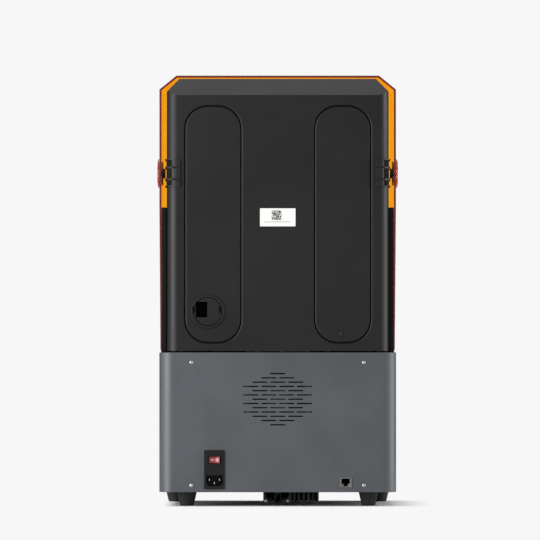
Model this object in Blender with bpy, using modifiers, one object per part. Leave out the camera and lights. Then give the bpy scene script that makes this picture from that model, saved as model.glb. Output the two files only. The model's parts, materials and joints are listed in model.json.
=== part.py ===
"""Flip-lid resin printer, modelled as the separate pieces that it is assembled from.

The printer stands on Z = 0 with its front towards -Y and its rear towards +Y. Numbers are in
millimetres; every mesh is scaled to metres when its object is made. A piece called left is on the
left of someone who faces the front, which is the -X side.
"""

import math

import bmesh
import bpy
from mathutils import Matrix, Vector

MM = 0.001
GAP = 0.3  # clearance between pieces that touch
SIDES = {"left": -1, "right": 1}
X_AXIS, Y_AXIS, Z_AXIS = Vector((1, 0, 0)), Vector((0, 1, 0)), Vector((0, 0, 1))

# Base: a folded sheet-metal box on four rubber feet
BASE_X, BASE_Y = 167.0, 134.0  # half width and half depth
BASE_Z = (19.8, 218.0)
BASE_ROUND = 20.0
SHEET = 2.0
DECK_TOP = 216.4
DECK_THICK = 3.0
REAR_LIMIT = 135.8  # how far the fittings stand out at the rear and at the front
FOOT_X = {"front": 148.0, "rear": 128.3}
FOOT_Y = 100.0

# Rear shell: the moulded cover of the lift column
SHELL_X = 156.5
SHELL_Y = (53.0, 131.0)
SHELL_Z = (217.3, 603.2)
SHELL_ROUND = 16.0
SHELL_WALL = 2.5
SLOPE_START_Y, SLOPE_END_Z = 85.0, 579.0
SHELL_CHAMFER = (17.5, 19.2)

# Hood: the translucent cover, which flips back about the hinge
HOOD_X = 167.3
HOOD_Y = (-132.0, 93.0)
HOOD_Z = (219.0, 608.0)
HOOD_WALL = 3.0
HOOD_ROUND = 20.0
HOOD_CHAMFER = (24.0, 19.5)
HOOD_CUT = ((15.0, 219.0), (93.0, 422.0))  # the slanting rear edge of its sides, as (Y, Z)
HINGE_Y, HINGE_Z = 63.0, 470.0
PIN_RADIUS = 4.0
BRACKET_THICK = 2.2
PIN_FOOT_X, PLATE_THICK = 159.3, 1.5

# Exposure unit, vat and build platform share one centre line
WORK_Y = -44.0
LCD_X, LCD_Y = 120.0, 70.0  # half sizes of the opening in the deck
VAT_X, VAT_Y = (132.0, 146.0), (-127.0, 37.0)
VAT_WALL_Y = 6.0
VAT_Z = (DECK_TOP + GAP, 262.0)
VAT_KNOB_X = 154.0
PLATFORM_X, PLATFORM_Y = 115.0, 65.0
PLATFORM_Z = (379.5, 399.5)

# Lift: lead screw, two rails and the carriage between them
SCREW_Y, SCREW_RADIUS = 56.0, 4.0
COLUMN_Y = (58.0, 88.0)
RAIL_X, RAIL_HALF = 31.0, 6.0
CARRIAGE_Y = (39.0, 46.7)
CARRIAGE_Z = (425.0, 505.0)

# Rear fittings, as (X, Z) centres
VENT_CENTRE_Z, VENT_ROWS, VENT_PITCH = 150.7, 13, (25.1, 6.0)
VENT_SLOT = (21.5, 2.0)
FAN_SIDE, FAN_DEPTH = 92.0, 25.0
PILL_X, PILL_Z, PILL_SIZE = 91.3, 396.8, (82.0, 336.4)
PORT_CENTRE = (98.6, 274.0)
PLUG_CENTRE = (-91.2, 242.4)
INLET_X, INLET_Z = (74.6, 103.6), (24.2, 79.1)
ROCKER_CENTRE = (88.9, 65.3)
ETHERNET_X, ETHERNET_Z = (-104.3, -87.0), (26.7, 40.8)
REAR_SCREWS = {"upper": 202.3, "lower": 29.3}
REAR_SCREW_X = 121.4

# Colour (linear), roughness, metallic, alpha
FINISHES = {
    "grey_paint": ((0.095, 0.1, 0.107), 0.45, 0.6, 1.0),
    "black_plastic": ((0.028, 0.028, 0.028), 0.55, 0.0, 1.0),
    "amber_acrylic": ((0.85, 0.30, 0.02), 0.12, 0.0, 0.45),
    "steel": ((0.55, 0.55, 0.55), 0.3, 1.0, 1.0),
    "aluminium": ((0.6, 0.61, 0.62), 0.35, 1.0, 1.0),
    "black_metal": ((0.03, 0.03, 0.032), 0.4, 0.8, 1.0),
    "rubber": ((0.02, 0.02, 0.02), 0.85, 0.0, 1.0),
    "glass": ((0.02, 0.02, 0.025), 0.08, 0.0, 1.0),
    "red_plastic": ((0.55, 0.02, 0.01), 0.35, 0.0, 1.0),
    "circuit_board": ((0.01, 0.12, 0.05), 0.5, 0.0, 1.0),
    "white_paper": ((0.8, 0.8, 0.8), 0.6, 0.0, 1.0),
    "film": ((0.8, 0.8, 0.75), 0.1, 0.0, 0.4),
}

# Planes for flat outlines: the outline's x, y and thickness go to these axes of the printer
FACING_Y = Matrix(((1, 0, 0, 0), (0, 0, -1, 0), (0, 1, 0, 0), (0, 0, 0, 1)))
FACING_X = Matrix(((0, 0, 1, 0), (1, 0, 0, 0), (0, 1, 0, 0), (0, 0, 0, 1)))


# ---------------------------------------------------------------- scene and finishes


def clear_scene():
    for obj in list(bpy.data.objects):
        bpy.data.objects.remove(obj, do_unlink=True)


def new_collection(name):
    collection = bpy.data.collections.new(name)
    bpy.context.scene.collection.children.link(collection)
    return collection


def finish_material(name):
    material = bpy.data.materials.get(name)
    if material is None:
        colour, roughness, metallic, alpha = FINISHES[name]
        material = bpy.data.materials.new(name)
        material.use_nodes = True
        shader = material.node_tree.nodes["Principled BSDF"]
        shader.inputs["Base Color"].default_value = (*colour, 1.0)
        shader.inputs["Roughness"].default_value = roughness
        shader.inputs["Metallic"].default_value = metallic
        shader.inputs["Alpha"].default_value = alpha
    return material


clear_scene()
PARTS = new_collection("resin_printer")
CUTTERS = new_collection("cutters")


def place(name, mesh, finish, origin):
    """A part with its finish or, where finish is None, a cutter."""
    obj = bpy.data.objects.new(name, mesh)
    obj.location = Vector(origin) * MM
    if finish is None:
        CUTTERS.objects.link(obj)
        obj.hide_render = True
        obj.display_type = "WIRE"
    else:
        PARTS.objects.link(obj)
        mesh.materials.append(finish_material(finish))
    return obj


def solid(name, shape, finish=None, origin=(0, 0, 0)):
    """An object from a bmesh in millimetres, with its origin at the given point."""
    shape.transform(Matrix.Scale(MM, 4) @ Matrix.Translation(-Vector(origin)))
    bmesh.ops.recalc_face_normals(shape, faces=shape.faces)
    mesh = bpy.data.meshes.new(name)
    shape.to_mesh(mesh)
    shape.free()
    mesh.shade_smooth()
    mesh.set_sharp_from_angle(angle=math.radians(35))
    return place(name, mesh, finish, origin)


def turned(name, profile, finish, origin, axis=Z_AXIS, sides=24):
    """A turned piece: (radius, height) points from its top down, spun about the axis."""
    mesh = bpy.data.meshes.new(name)
    points = [(radius * MM, 0, height * MM) for radius, height in profile]
    edges = [(i, i + 1) for i in range(len(points) - 1)]
    mesh.from_pydata(points, edges, [])
    obj = place(name, mesh, finish, origin)
    obj.rotation_mode = "QUATERNION"
    obj.rotation_quaternion = Z_AXIS.rotation_difference(axis)
    screw = obj.modifiers.new("Turn", "SCREW")
    screw.steps = screw.render_steps = sides
    screw.use_merge_vertices = True
    screw.merge_threshold = 0.00001
    screw.use_smooth_shade = True
    return obj


def combine(obj, operation, shapes):
    for number, shape in enumerate(shapes):
        tool = solid(f"{obj.name}_{operation.lower()}_{len(obj.modifiers)}_{number}", shape)
        boolean = obj.modifiers.new(operation.title(), "BOOLEAN")
        boolean.operation = operation
        boolean.solver = "EXACT"
        boolean.object = tool


def cut(obj, *shapes):
    combine(obj, "DIFFERENCE", shapes)


def join(obj, *shapes):
    combine(obj, "UNION", shapes)


# ---------------------------------------------------------------- shapes


def block(x, y, z):
    bm = bmesh.new()
    bmesh.ops.create_cube(bm, size=1.0)
    low, high = Vector((x[0], y[0], z[0])), Vector((x[1], y[1], z[1]))
    size = Matrix.Diagonal((*(high - low), 1.0))
    bm.transform(Matrix.Translation((low + high) / 2) @ size)
    return bm


def around(centre, half):
    return (centre - half, centre + half)


def soften(bm, radius, steps, chosen):
    """Rounds the edges whose middle and direction the test accepts; one step is a chamfer."""
    edges = [
        edge
        for edge in bm.edges
        if chosen(
            (edge.verts[0].co + edge.verts[1].co) / 2,
            (edge.verts[1].co - edge.verts[0].co).normalized(),
        )
    ]
    bmesh.ops.bevel(
        bm, geom=edges, offset=radius, segments=steps, profile=0.5, affect="EDGES"
    )
    return bm


def upright(middle, direction):
    return abs(direction.z) > 0.99


def slice_off(bm, point, normal):
    """Removes what lies past a plane and closes the cut."""
    everything = bm.verts[:] + bm.edges[:] + bm.faces[:]
    found = bmesh.ops.bisect_plane(
        bm, geom=everything, plane_co=point, plane_no=normal, clear_outer=True
    )
    rim = [item for item in found["geom_cut"] if isinstance(item, bmesh.types.BMEdge)]
    bmesh.ops.edgeloop_fill(bm, edges=rim)
    return bm


def rod(start, axis, length, radius, sides=24, tip=None):
    """A cylinder, or a cone to the tip radius, from its start along the axis."""
    bm = bmesh.new()
    bmesh.ops.create_cone(
        bm,
        cap_ends=True,
        segments=sides,
        radius1=radius,
        radius2=radius if tip is None else tip,
        depth=length,
    )
    turn = Z_AXIS.rotation_difference(axis).to_matrix().to_4x4()
    bm.transform(Matrix.Translation(Vector(start) + axis * length / 2) @ turn)
    return bm


def frustum(low, high, z):
    """A four-sided funnel body between two rectangles, each given as (X range, Y range)."""
    bm = block(low[0], low[1], z)
    for vert in bm.verts:
        if vert.co.z > sum(z) / 2:
            vert.co.x = high[0][0] if vert.co.x < sum(low[0]) / 2 else high[0][1]
            vert.co.y = high[1][0] if vert.co.y < sum(low[1]) / 2 else high[1][1]
    return bm


def together(*shapes):
    """Several shapes that don't touch, as one cutter."""
    bm = bmesh.new()
    for shape in shapes:
        mesh = bpy.data.meshes.new("loose")
        shape.to_mesh(mesh)
        shape.free()
        bm.from_mesh(mesh)
        bpy.data.meshes.remove(mesh)
    return bm


def outline(loops, thickness, matrix):
    """A flat outline with an extrude; a second loop inside the first is a hole."""
    curve = bpy.data.curves.new("outline", "CURVE")
    curve.dimensions = "2D"
    curve.fill_mode = "BOTH"
    curve.extrude = thickness / 2
    for loop in loops:
        spline = curve.splines.new("POLY")
        spline.points.add(len(loop) - 1)
        for point, (x, y) in zip(spline.points, loop):
            point.co = (x, y, 0, 1)
        spline.use_cyclic_u = True
    holder = bpy.data.objects.new("outline", curve)
    bpy.context.scene.collection.objects.link(holder)
    graph = bpy.context.evaluated_depsgraph_get()
    mesh = bpy.data.meshes.new_from_object(holder.evaluated_get(graph))
    bm = bmesh.new()
    bm.from_mesh(mesh)
    bmesh.ops.remove_doubles(bm, verts=bm.verts, dist=1e-3)
    bpy.data.objects.remove(holder)
    bpy.data.curves.remove(curve)
    bpy.data.meshes.remove(mesh)
    bm.transform(matrix)
    return bm


def rounded_loop(centre, size, radius, steps=6):
    """The points of a rectangle with round corners."""
    points = []
    for quarter in range(4):
        middle = math.pi / 4 + quarter * math.pi / 2
        corner_x = centre[0] + math.copysign(size[0] / 2 - radius, math.cos(middle))
        corner_y = centre[1] + math.copysign(size[1] / 2 - radius, math.sin(middle))
        for step in range(steps + 1):
            angle = (quarter + step / steps) * math.pi / 2
            points.append((corner_x + radius * math.cos(angle), corner_y + radius * math.sin(angle)))
    return points


# ---------------------------------------------------------------- base


def vent_slots():
    slots = []
    for row in range(VENT_ROWS):
        count = min(row + 1, VENT_ROWS - row, 3 + row % 2)
        z = VENT_CENTRE_Z + (row - (VENT_ROWS - 1) / 2) * VENT_PITCH[1]
        for slot in range(count):
            x = (slot - (count - 1) / 2) * VENT_PITCH[0]
            slots.append(
                block(around(x, VENT_SLOT[0] / 2), (125, 140), around(z, VENT_SLOT[1] / 2))
            )
    return together(*slots)


def rear_screw_places():
    for row, z in REAR_SCREWS.items():
        for side, sign in SIDES.items():
            yield f"rear_screw_{row}_{side}", (sign * REAR_SCREW_X, z)


def make_base_housing():
    inner = (BASE_X - SHEET, BASE_Y - SHEET)
    outside = block((-BASE_X, BASE_X), (-BASE_Y, BASE_Y), BASE_Z)
    inside = block((-inner[0], inner[0]), (-inner[1], inner[1]), (0, 300))
    housing = solid(
        "base_housing", soften(outside, BASE_ROUND, 6, upright), "grey_paint"
    )
    cut(housing, soften(inside, BASE_ROUND - SHEET, 6, upright))
    through_rear, through_front = (125, 140), (-140, -125)
    openings = [
        block((INLET_X[0] + 2, INLET_X[1] - 2), through_rear, (INLET_Z[0] + 2.3, INLET_Z[1] - 2)),
        block(
            (ETHERNET_X[0] - GAP, ETHERNET_X[1] + GAP),
            through_rear,
            (ETHERNET_Z[0] - GAP, ETHERNET_Z[1] + GAP),
        ),
        block((-48, 48), through_front, (88, 156)),
        block((89.7, 104.3), through_front, (56.2, 63.8)),
    ]
    for _, (x, z) in rear_screw_places():
        openings.append(rod((x, 125, z), Y_AXIS, 15, 2.2, sides=12))
    cut(housing, together(*openings), vent_slots())


def make_plates():
    x, y = BASE_X - SHEET - GAP, BASE_Y - SHEET - GAP
    radius = BASE_ROUND - SHEET
    floor = block((-x, x), (-y, y), (20.1, 22.1))
    plate = solid("bottom_plate", soften(floor, radius, 6, upright), "grey_paint")
    cut(plate, block((-62, 23), (-63, 83), (10, 30)))
    top = block((-x, x), (-y, y), (DECK_TOP - DECK_THICK, DECK_TOP))
    deck = solid("top_deck", soften(top, radius, 6, upright), "grey_paint")
    cut(
        deck,
        block((-LCD_X, LCD_X), around(WORK_Y, LCD_Y), (200, 230)),
        rod((0, SCREW_Y, 200), Z_AXIS, 30, 11),
    )


def make_feet():
    for end, y in (("front", -FOOT_Y), ("rear", FOOT_Y)):
        for side, sign in SIDES.items():
            profile = ((0, 19.8), (13, 19.8), (14, 18.8), (9.7, 1.2), (8.5, 0), (0, 0))
            origin = (sign * FOOT_X[end], y, 0)
            turned(f"foot_{end}_{side}", profile, "rubber", origin)


def make_rear_screws():
    for name, (x, z) in rear_screw_places():
        profile = ((0, 1.5), (1.6, 1.2), (2.8, 0.3), (2.8, 0), (1.8, 0), (1.8, -6), (0, -6))
        turned(name, profile, "steel", (x, BASE_Y + GAP, z), Y_AXIS, sides=12)


# ---------------------------------------------------------------- rear shell and panels


def shell_body(inset, low_y, low_z):
    """The cover's solid form, with each of its planes moved in by the inset."""
    x, y, z = SHELL_X - inset, SHELL_Y[1] - inset, SHELL_Z[1] - inset
    body = block((-x, x), (low_y, y), (low_z, z))
    soften(
        body,
        SHELL_ROUND - inset,
        5,
        lambda middle, way: upright(middle, way) and middle.y > y - 1,
    )
    run, drop = SHELL_Y[1] - SLOPE_START_Y, SHELL_Z[1] - SLOPE_END_Z
    slope = Vector((0, drop, run)).normalized()
    start = Vector((0, SLOPE_START_Y, SHELL_Z[1]))
    slice_off(body, start - slope * inset, slope)
    return chamfer_shell(body, inset, run, drop)


def chamfer_shell(body, inset, run, drop):
    """Cuts both upper corners, along the flat top and again along its slope."""
    wide, high = SHELL_CHAMFER
    for sign in SIDES.values():
        edge = Vector((sign * (SHELL_X - wide), SLOPE_START_Y, SHELL_Z[1]))
        along_top = Vector((sign * high, 0, wide)).normalized()
        slice_off(body, edge - along_top * inset, along_top)
        across = Vector((sign * wide, 0, -high))
        along_slope = across.cross(Vector((0, run, -drop))) * sign
        if along_slope.z < 0:
            along_slope.negate()
        along_slope.normalize()
        slice_off(body, edge - along_slope * inset, along_slope)
    return body


def make_rear_shell():
    shell = solid("rear_shell", shell_body(0, SHELL_Y[0], SHELL_Z[0]), "black_plastic")
    cut(shell, shell_body(SHELL_WALL, SHELL_Y[0] - 20, SHELL_Z[0] - 20))
    rear = SHELL_Y[1]
    for sign in SIDES.values():
        centre = (sign * PILL_X, PILL_Z)
        inner = (PILL_SIZE[0] - 7, PILL_SIZE[1] - 7)
        ring = (rounded_loop(centre, PILL_SIZE, 34), rounded_loop(centre, inner, 30.5))
        placed = Matrix.Translation((0, rear, 0)) @ FACING_Y
        cut(shell, outline(ring, 2.0, placed))
    port = rod((PORT_CENTRE[0], rear - 10, PORT_CENTRE[1]), Y_AXIS, 20, 21, sides=32)
    plug = rod((PLUG_CENTRE[0], rear - 10, PLUG_CENTRE[1]), Y_AXIS, 20, 2.8, sides=12)
    cut(shell, port, plug)


def make_back_panel():
    panel = block((-SHELL_X, SHELL_X), (50, 52.7), SHELL_Z)
    chamfer_shell(panel, 0, SHELL_Y[1] - SLOPE_START_Y, SHELL_Z[1] - SLOPE_END_Z)
    back = solid("back_panel", panel, "black_plastic")
    cut(back, block((-46.5, 46.5), (40, 60), (200, 594)))


def make_side_panels():
    profile = ((118, 217.3), (118, 421), (73, 421), (-5, 217.3))
    for side, sign in SIDES.items():
        placed = Matrix.Translation((sign * 159.1, 0, 0)) @ FACING_X
        solid(f"side_panel_{side}", outline((profile,), 4.6, placed), "black_plastic")


def make_rear_fittings():
    rear = SHELL_Y[1] + GAP
    x, z = PORT_CENTRE
    profile = ((0, 2.2), (23, 2.2), (24, 1.2), (24, 0), (20.6, 0), (20.6, -4), (0, -4))
    cover = turned(
        "rear_port_cover", profile, "black_plastic", (x, rear, z), Y_AXIS, sides=32
    )
    cut(cover, block((99.3, 115.3), (120, 140), (265.8, 287.9)))
    join(cover, block((114.5, 119.5), (rear + 1, rear + 3), (270, 282)))
    profile = ((0, 1.4), (3, 1.1), (4, 0.2), (4, 0), (2.4, 0), (2.4, -5), (0, -5))
    plug_origin = (PLUG_CENTRE[0], rear, PLUG_CENTRE[1])
    turned("cable_plug", profile, "black_plastic", plug_origin, Y_AXIS, sides=16)
    label = block((-25, 25), (rear, rear + 0.3), (394, 419.4))
    solid("id_label", label, "white_paper")


# ---------------------------------------------------------------- hinges and hood


def make_hinges():
    for side, sign in SIDES.items():
        outward = X_AXIS * sign
        surface = SHELL_ROUND + GAP
        outer = bracket_path(surface + BRACKET_THICK)
        inner = bracket_path(surface)
        loop = [(sign * x, y) for x, y in outer + inner[::-1]]
        placed = Matrix.Translation((0, 0, HINGE_Z - 0.5))
        bracket = outline((loop,), 39, placed)
        solid(f"hinge_bracket_{side}", bracket, "black_metal")
        plate_foot = HOOD_X - HOOD_WALL - GAP - PLATE_THICK
        barrel, shaft = plate_foot - GAP - PIN_FOOT_X, HOOD_X + 1.7 - PIN_FOOT_X
        pin = (sign * PIN_FOOT_X, HINGE_Y, HINGE_Z)
        profile = ((0, shaft), (PIN_RADIUS, shaft), (PIN_RADIUS, barrel), (7, barrel), (7, 0), (0, 0))
        turned(f"hinge_pin_{side}", profile, "black_metal", pin, outward)
        plate_x, cap_x = sign * plate_foot, sign * (HOOD_X + GAP)
        bore = PIN_RADIUS + GAP
        plate = solid(
            f"hinge_plate_{side}",
            rod((plate_x, HINGE_Y, HINGE_Z), outward, PLATE_THICK, 17, sides=32),
            "black_metal",
            (plate_x, HINGE_Y, HINGE_Z),
        )
        cut(plate, rod((sign * 155, HINGE_Y, HINGE_Z), outward, 20, bore))
        profile = ((0, 2.9), (17.5, 2.9), (20, 1.9), (20.75, 0.6), (20.75, 0), (0, 0))
        cap = turned(
            f"hinge_cap_{side}",
            profile,
            "amber_acrylic",
            (cap_x, HINGE_Y, HINGE_Z),
            outward,
            sides=32,
        )
        cut(cap, rod((sign * 155, HINGE_Y, HINGE_Z), outward, HOOD_X + 2 - 155, bore))


def bracket_path(radius):
    """From the side of the cover round its rear corner, at a radius about the corner's centre."""
    centre = (SHELL_X - SHELL_ROUND, SHELL_Y[1] - SHELL_ROUND)
    points = [(centre[0] + radius, 47.0)]
    for step in range(7):
        angle = step / 6 * math.pi / 2
        points.append(
            (centre[0] + radius * math.cos(angle), centre[1] + radius * math.sin(angle))
        )
    points.append((137.5, centre[1] + radius))
    return points


def hood_body(inset, high_y, low_z):
    """The hood's solid form, with each of its planes moved in by the inset."""
    x, y, z = HOOD_X - inset, HOOD_Y[0] + inset, HOOD_Z[1] - inset
    body = block((-x, x), (y, high_y), (low_z, z))
    soften(
        body,
        HOOD_ROUND - inset,
        5,
        lambda middle, way: upright(middle, way) and middle.y < y + 1,
    )
    wide, high = HOOD_CHAMFER
    for corner, way in (
        ((HOOD_X - wide, 0, HOOD_Z[1]), (high, 0, wide)),
        ((wide - HOOD_X, 0, HOOD_Z[1]), (-high, 0, wide)),
        ((0, HOOD_Y[0] + wide, HOOD_Z[1]), (0, -high, wide)),
    ):
        normal = Vector(way).normalized()
        slice_off(body, Vector(corner) - normal * inset, normal)
    return body


def make_hood():
    body = hood_body(0, HOOD_Y[1], HOOD_Z[0])
    (low_y, low_z), (high_y, high_z) = HOOD_CUT
    behind = Vector((0, high_z - low_z, low_y - high_y))
    slice_off(body, Vector((0, low_y, low_z)), behind)
    hood = solid("hood_shell", body, "amber_acrylic", (0, HINGE_Y, HINGE_Z))
    cut(hood, hood_body(HOOD_WALL, HOOD_Y[1] + 20, HOOD_Z[0] - 20))
    cut(hood, rod((-180, HINGE_Y, HINGE_Z), X_AXIS, 360, PIN_RADIUS + GAP))


# ---------------------------------------------------------------- lift


def make_column():
    z = (SHELL_Z[0], 594.0)
    column = solid("z_column", block((-45, 45), COLUMN_Y, z), "aluminium")
    cut(column, block((-12, 12), (50, 66), (200, 620)), block((-39, 39), (70, 95), (200, 620)))
    for side, sign in SIDES.items():
        rail = block(around(sign * RAIL_X, RAIL_HALF), (51, 57.7), (235, 588))
        solid(f"linear_rail_{side}", rail, "steel")
    bearing = solid("screw_top_bearing", block((-11.5, 11.5), (48.5, 65.7), (583, 593)), "black_metal")
    cut(bearing, rod((0, SCREW_Y, 570), Z_AXIS, 30, SCREW_RADIUS + GAP))


def make_motor_and_screw():
    body = block(around(0, 21), around(SCREW_Y, 21), (165, 212))
    motor = solid("z_motor", soften(body, 3, 1, upright), "black_metal")
    join(motor, rod((0, SCREW_Y, 205), Z_AXIS, 25, 2.5, sides=16))
    profile = ((0, 590), (SCREW_RADIUS, 590), (SCREW_RADIUS, 243), (9.5, 243), (9.5, 217.4), (0, 217.4))
    screw = turned("lead_screw", profile, "steel", (0, SCREW_Y, 0))
    cut(screw, rod((0, SCREW_Y, 210), Z_AXIS, 21, 2.8, sides=16))


def make_carriage():
    plate = solid("carriage_plate", block((-43, 43), CARRIAGE_Y, CARRIAGE_Z), "aluminium")
    join(plate, block((-9.5, 9.5), (45, 64.5), (450, 480)))
    cut(plate, rod((0, SCREW_Y, 440), Z_AXIS, 50, SCREW_RADIUS + GAP))
    for side, sign in SIDES.items():
        x = around(sign * RAIL_X, 12)
        runner = solid(
            f"carriage_block_{side}", block(x, (47, 56.5), (435, 495)), "steel"
        )
        cut(runner, block(around(sign * RAIL_X, RAIL_HALF + GAP), (50.7, 70), (420, 510)))


def make_platform():
    arm = solid("support_arm", block((-34, 34), (-72, 38.7), (446.3, 466)), "black_metal")
    join(arm, block((-34, 34), (29, 38.7), (428, 502)))
    top, bottom = PLATFORM_Z[1], PLATFORM_Z[0]
    mount = solid(
        "platform_mount",
        block((-45, 45), around(WORK_Y, 32), (top + GAP, top + 12)),
        "aluminium",
    )
    join(mount, block((-30, 30), around(WORK_Y, 24), (top + 8, 446)))
    plate = block(
        (-PLATFORM_X, PLATFORM_X), around(WORK_Y, PLATFORM_Y), (bottom, top)
    )
    soften(plate, 6, 1, lambda middle, way: middle.z > top - 1)
    solid("build_platform", plate, "aluminium")
    cut(arm, rod((0, WORK_Y, 430), Z_AXIS, 50, 4.5))
    cut(mount, rod((0, WORK_Y, 430), Z_AXIS, 30, 4.5))
    profile = ((0, 488), (14, 488), (16, 486), (16, 470), (8, 467), (8, 466.3), (4, 466.3), (4, 432), (0, 432))
    knob = turned("platform_knob", profile, "black_plastic", (0, WORK_Y, 0))
    grips = []
    for turn in range(8):
        angle = (turn + 0.5) * math.pi / 4
        centre = (19 * math.cos(angle), WORK_Y + 19 * math.sin(angle), 466)
        grips.append(rod(centre, Z_AXIS, 30, 4.5, sides=10))
    cut(knob, together(*grips))


def make_vat():
    x, (front, back) = VAT_X[1], VAT_Y
    body = block((-x, x), (front, back), VAT_Z)
    vat = solid("resin_vat", soften(body, 10, 4, upright), "aluminium")
    inner_y = (front + VAT_WALL_Y, back - VAT_WALL_Y)
    for sign in SIDES.values():
        ear = block(around(sign * 152.5, 8.5), around(WORK_Y, 12), (VAT_Z[0], VAT_Z[0] + 5))
        join(vat, ear)
    inside = block((-VAT_X[0], VAT_X[0]), inner_y, (200, 300))
    cut(vat, soften(inside, 8, 4, upright))
    rebate = (VAT_X[0] + 2.5, (inner_y[0] - 2.5, inner_y[1] + 2.5))
    cut(vat, block((-rebate[0], rebate[0]), rebate[1], (200, VAT_Z[0] + 0.9)))
    film_y = (rebate[1][0] + GAP, rebate[1][1] - GAP)
    film = block(around(0, rebate[0] - GAP), film_y, (VAT_Z[0] + 0.1, VAT_Z[0] + 0.5))
    solid("release_film", film, "film")
    for side, sign in SIDES.items():
        centre = (sign * VAT_KNOB_X, WORK_Y, VAT_Z[0])
        cut(vat, rod((centre[0], WORK_Y, 200), Z_AXIS, 40, 3.4, sides=16))
        profile = ((0, 22), (6, 22), (7, 21), (7, 9), (5, 7.5), (5, 5.3), (3, 5.3), (3, 0.2), (0, 0.2))
        turned(f"vat_knob_{side}", profile, "black_plastic", centre, sides=20)


# ---------------------------------------------------------------- exposure unit


def make_exposure_unit():
    lcd = block(around(0, LCD_X - GAP), around(WORK_Y, LCD_Y - GAP), (213.4, 216.3))
    solid("lcd_panel", lcd, "glass")
    low = ((-34.0, 34.0), around(WORK_Y, 34))
    high = ((-118.0, 118.0), around(WORK_Y, 68))
    housing = solid("light_housing", frustum(low, high, (109, 211)), "black_plastic")
    inner_low = ((-32.0, 32.0), around(WORK_Y, 32))
    inner_high = ((-116.0, 116.0), around(WORK_Y, 66))
    cut(housing, frustum(inner_low, inner_high, (108.9, 211.1)))
    board = block((-36, 36), around(WORK_Y, 36), (104.3, 106.3))
    leds = solid("led_board", board, "circuit_board")
    lamps = [
        rod((x, WORK_Y + y, 106), Z_AXIS, 2.2, 4, sides=10, tip=2.5)
        for x in (-20, -7, 7, 20)
        for y in (-20, -7, 7, 20)
    ]
    join(leds, together(*lamps))
    sink = solid("uv_heatsink", block((-59.4, 59.4), (-84, 60), (97, 104)), "black_metal")
    fins = []
    for number in range(12):
        x = 16.8 - number * 6.7
        back = 60 if x > -48 else 20
        fins.append(block(around(x, 1.6), (-60, back), (4, 99)))
    front_plate = block((-59.4, 20.5), (-62, -59), (4, 99))
    join(sink, together(*fins), front_plate)


def fan_frame(name, centre, side, depth, bore, finish):
    """A square frame with a round tunnel, its motor seat held by four struts at the front."""
    x, y, z = centre
    frame = block(around(x, side / 2), (y, y + depth), around(z, side / 2))
    obj = solid(name, soften(frame, side * 0.05, 2, lambda m, way: abs(way.y) > 0.99), finish)
    cut(obj, rod((x, y - 5, z), Y_AXIS, depth + 10, bore, sides=32))
    seat = bore * 0.4
    join(
        obj,
        rod((x, y + 0.5, z), Y_AXIS, 2.5, seat, sides=24),
        block(around(x, side / 2 - 1), (y + 1, y + 2.6), around(z, 1.6)),
        block(around(x, 1.6), (y + 1, y + 2.6), around(z, side / 2 - 1)),
    )


def fan_rotor(name, centre, bore, depth, finish):
    """A hub with seven pitched blades, turning about Y."""
    x, y, z = centre
    hub = bore * 0.4
    start = y + 3.6
    obj = solid(name, rod((x, start, z), Y_AXIS, depth, hub), finish, (x, start, z))
    blades = []
    for number in range(7):
        reach = (hub - 1, bore - 1.5)
        blade = block(reach, around(0, depth * 0.42), around(0, 0.8))
        pitch = Matrix.Rotation(math.radians(50), 4, X_AXIS)
        turn = Matrix.Rotation(number * math.tau / 7, 4, Y_AXIS)
        blade.transform(Matrix.Translation((x, start + depth / 2, z)) @ turn @ pitch)
        blades.append(blade)
    join(obj, together(*blades))


def make_fans():
    rear = (0.0, BASE_Y - SHEET - GAP - FAN_DEPTH, VENT_CENTRE_Z)
    fan_frame("rear_fan_frame", rear, FAN_SIDE, FAN_DEPTH, 43.5, "black_plastic")
    fan_rotor("rear_fan_rotor", rear, 43.5, FAN_DEPTH - 5.5, "black_plastic")
    light = (0.5, 60.3, 22.0)
    fan_frame("light_fan_frame", light, 40.0, 20.0, 18.5, "black_plastic")
    fan_rotor("light_fan_rotor", light, 18.5, 14.5, "black_plastic")


# ---------------------------------------------------------------- electrics


def make_electronics():
    board = solid("main_board", block((-152, -66), (10, 111), (26, 27.6)), "circuit_board")
    feet = [
        block(around(x, 3), around(y, 3), (22.4, 26.5)) for x in (-147, -71) for y in (16, 105)
    ]
    join(board, together(*feet))
    chips = [
        block((-125, -100), (50, 75), (27, 32)),
        block((-90, -72), (30, 60), (27, 36)),
        block((-148, -140), (40, 90), (27, 38)),
    ]
    join(board, together(*chips))
    supply = solid("power_supply", block((72, 150), (-80, 95), (22.4, 60)), "steel")
    cut(supply, block((78, 144), (85, 100), (30, 45)))


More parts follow.
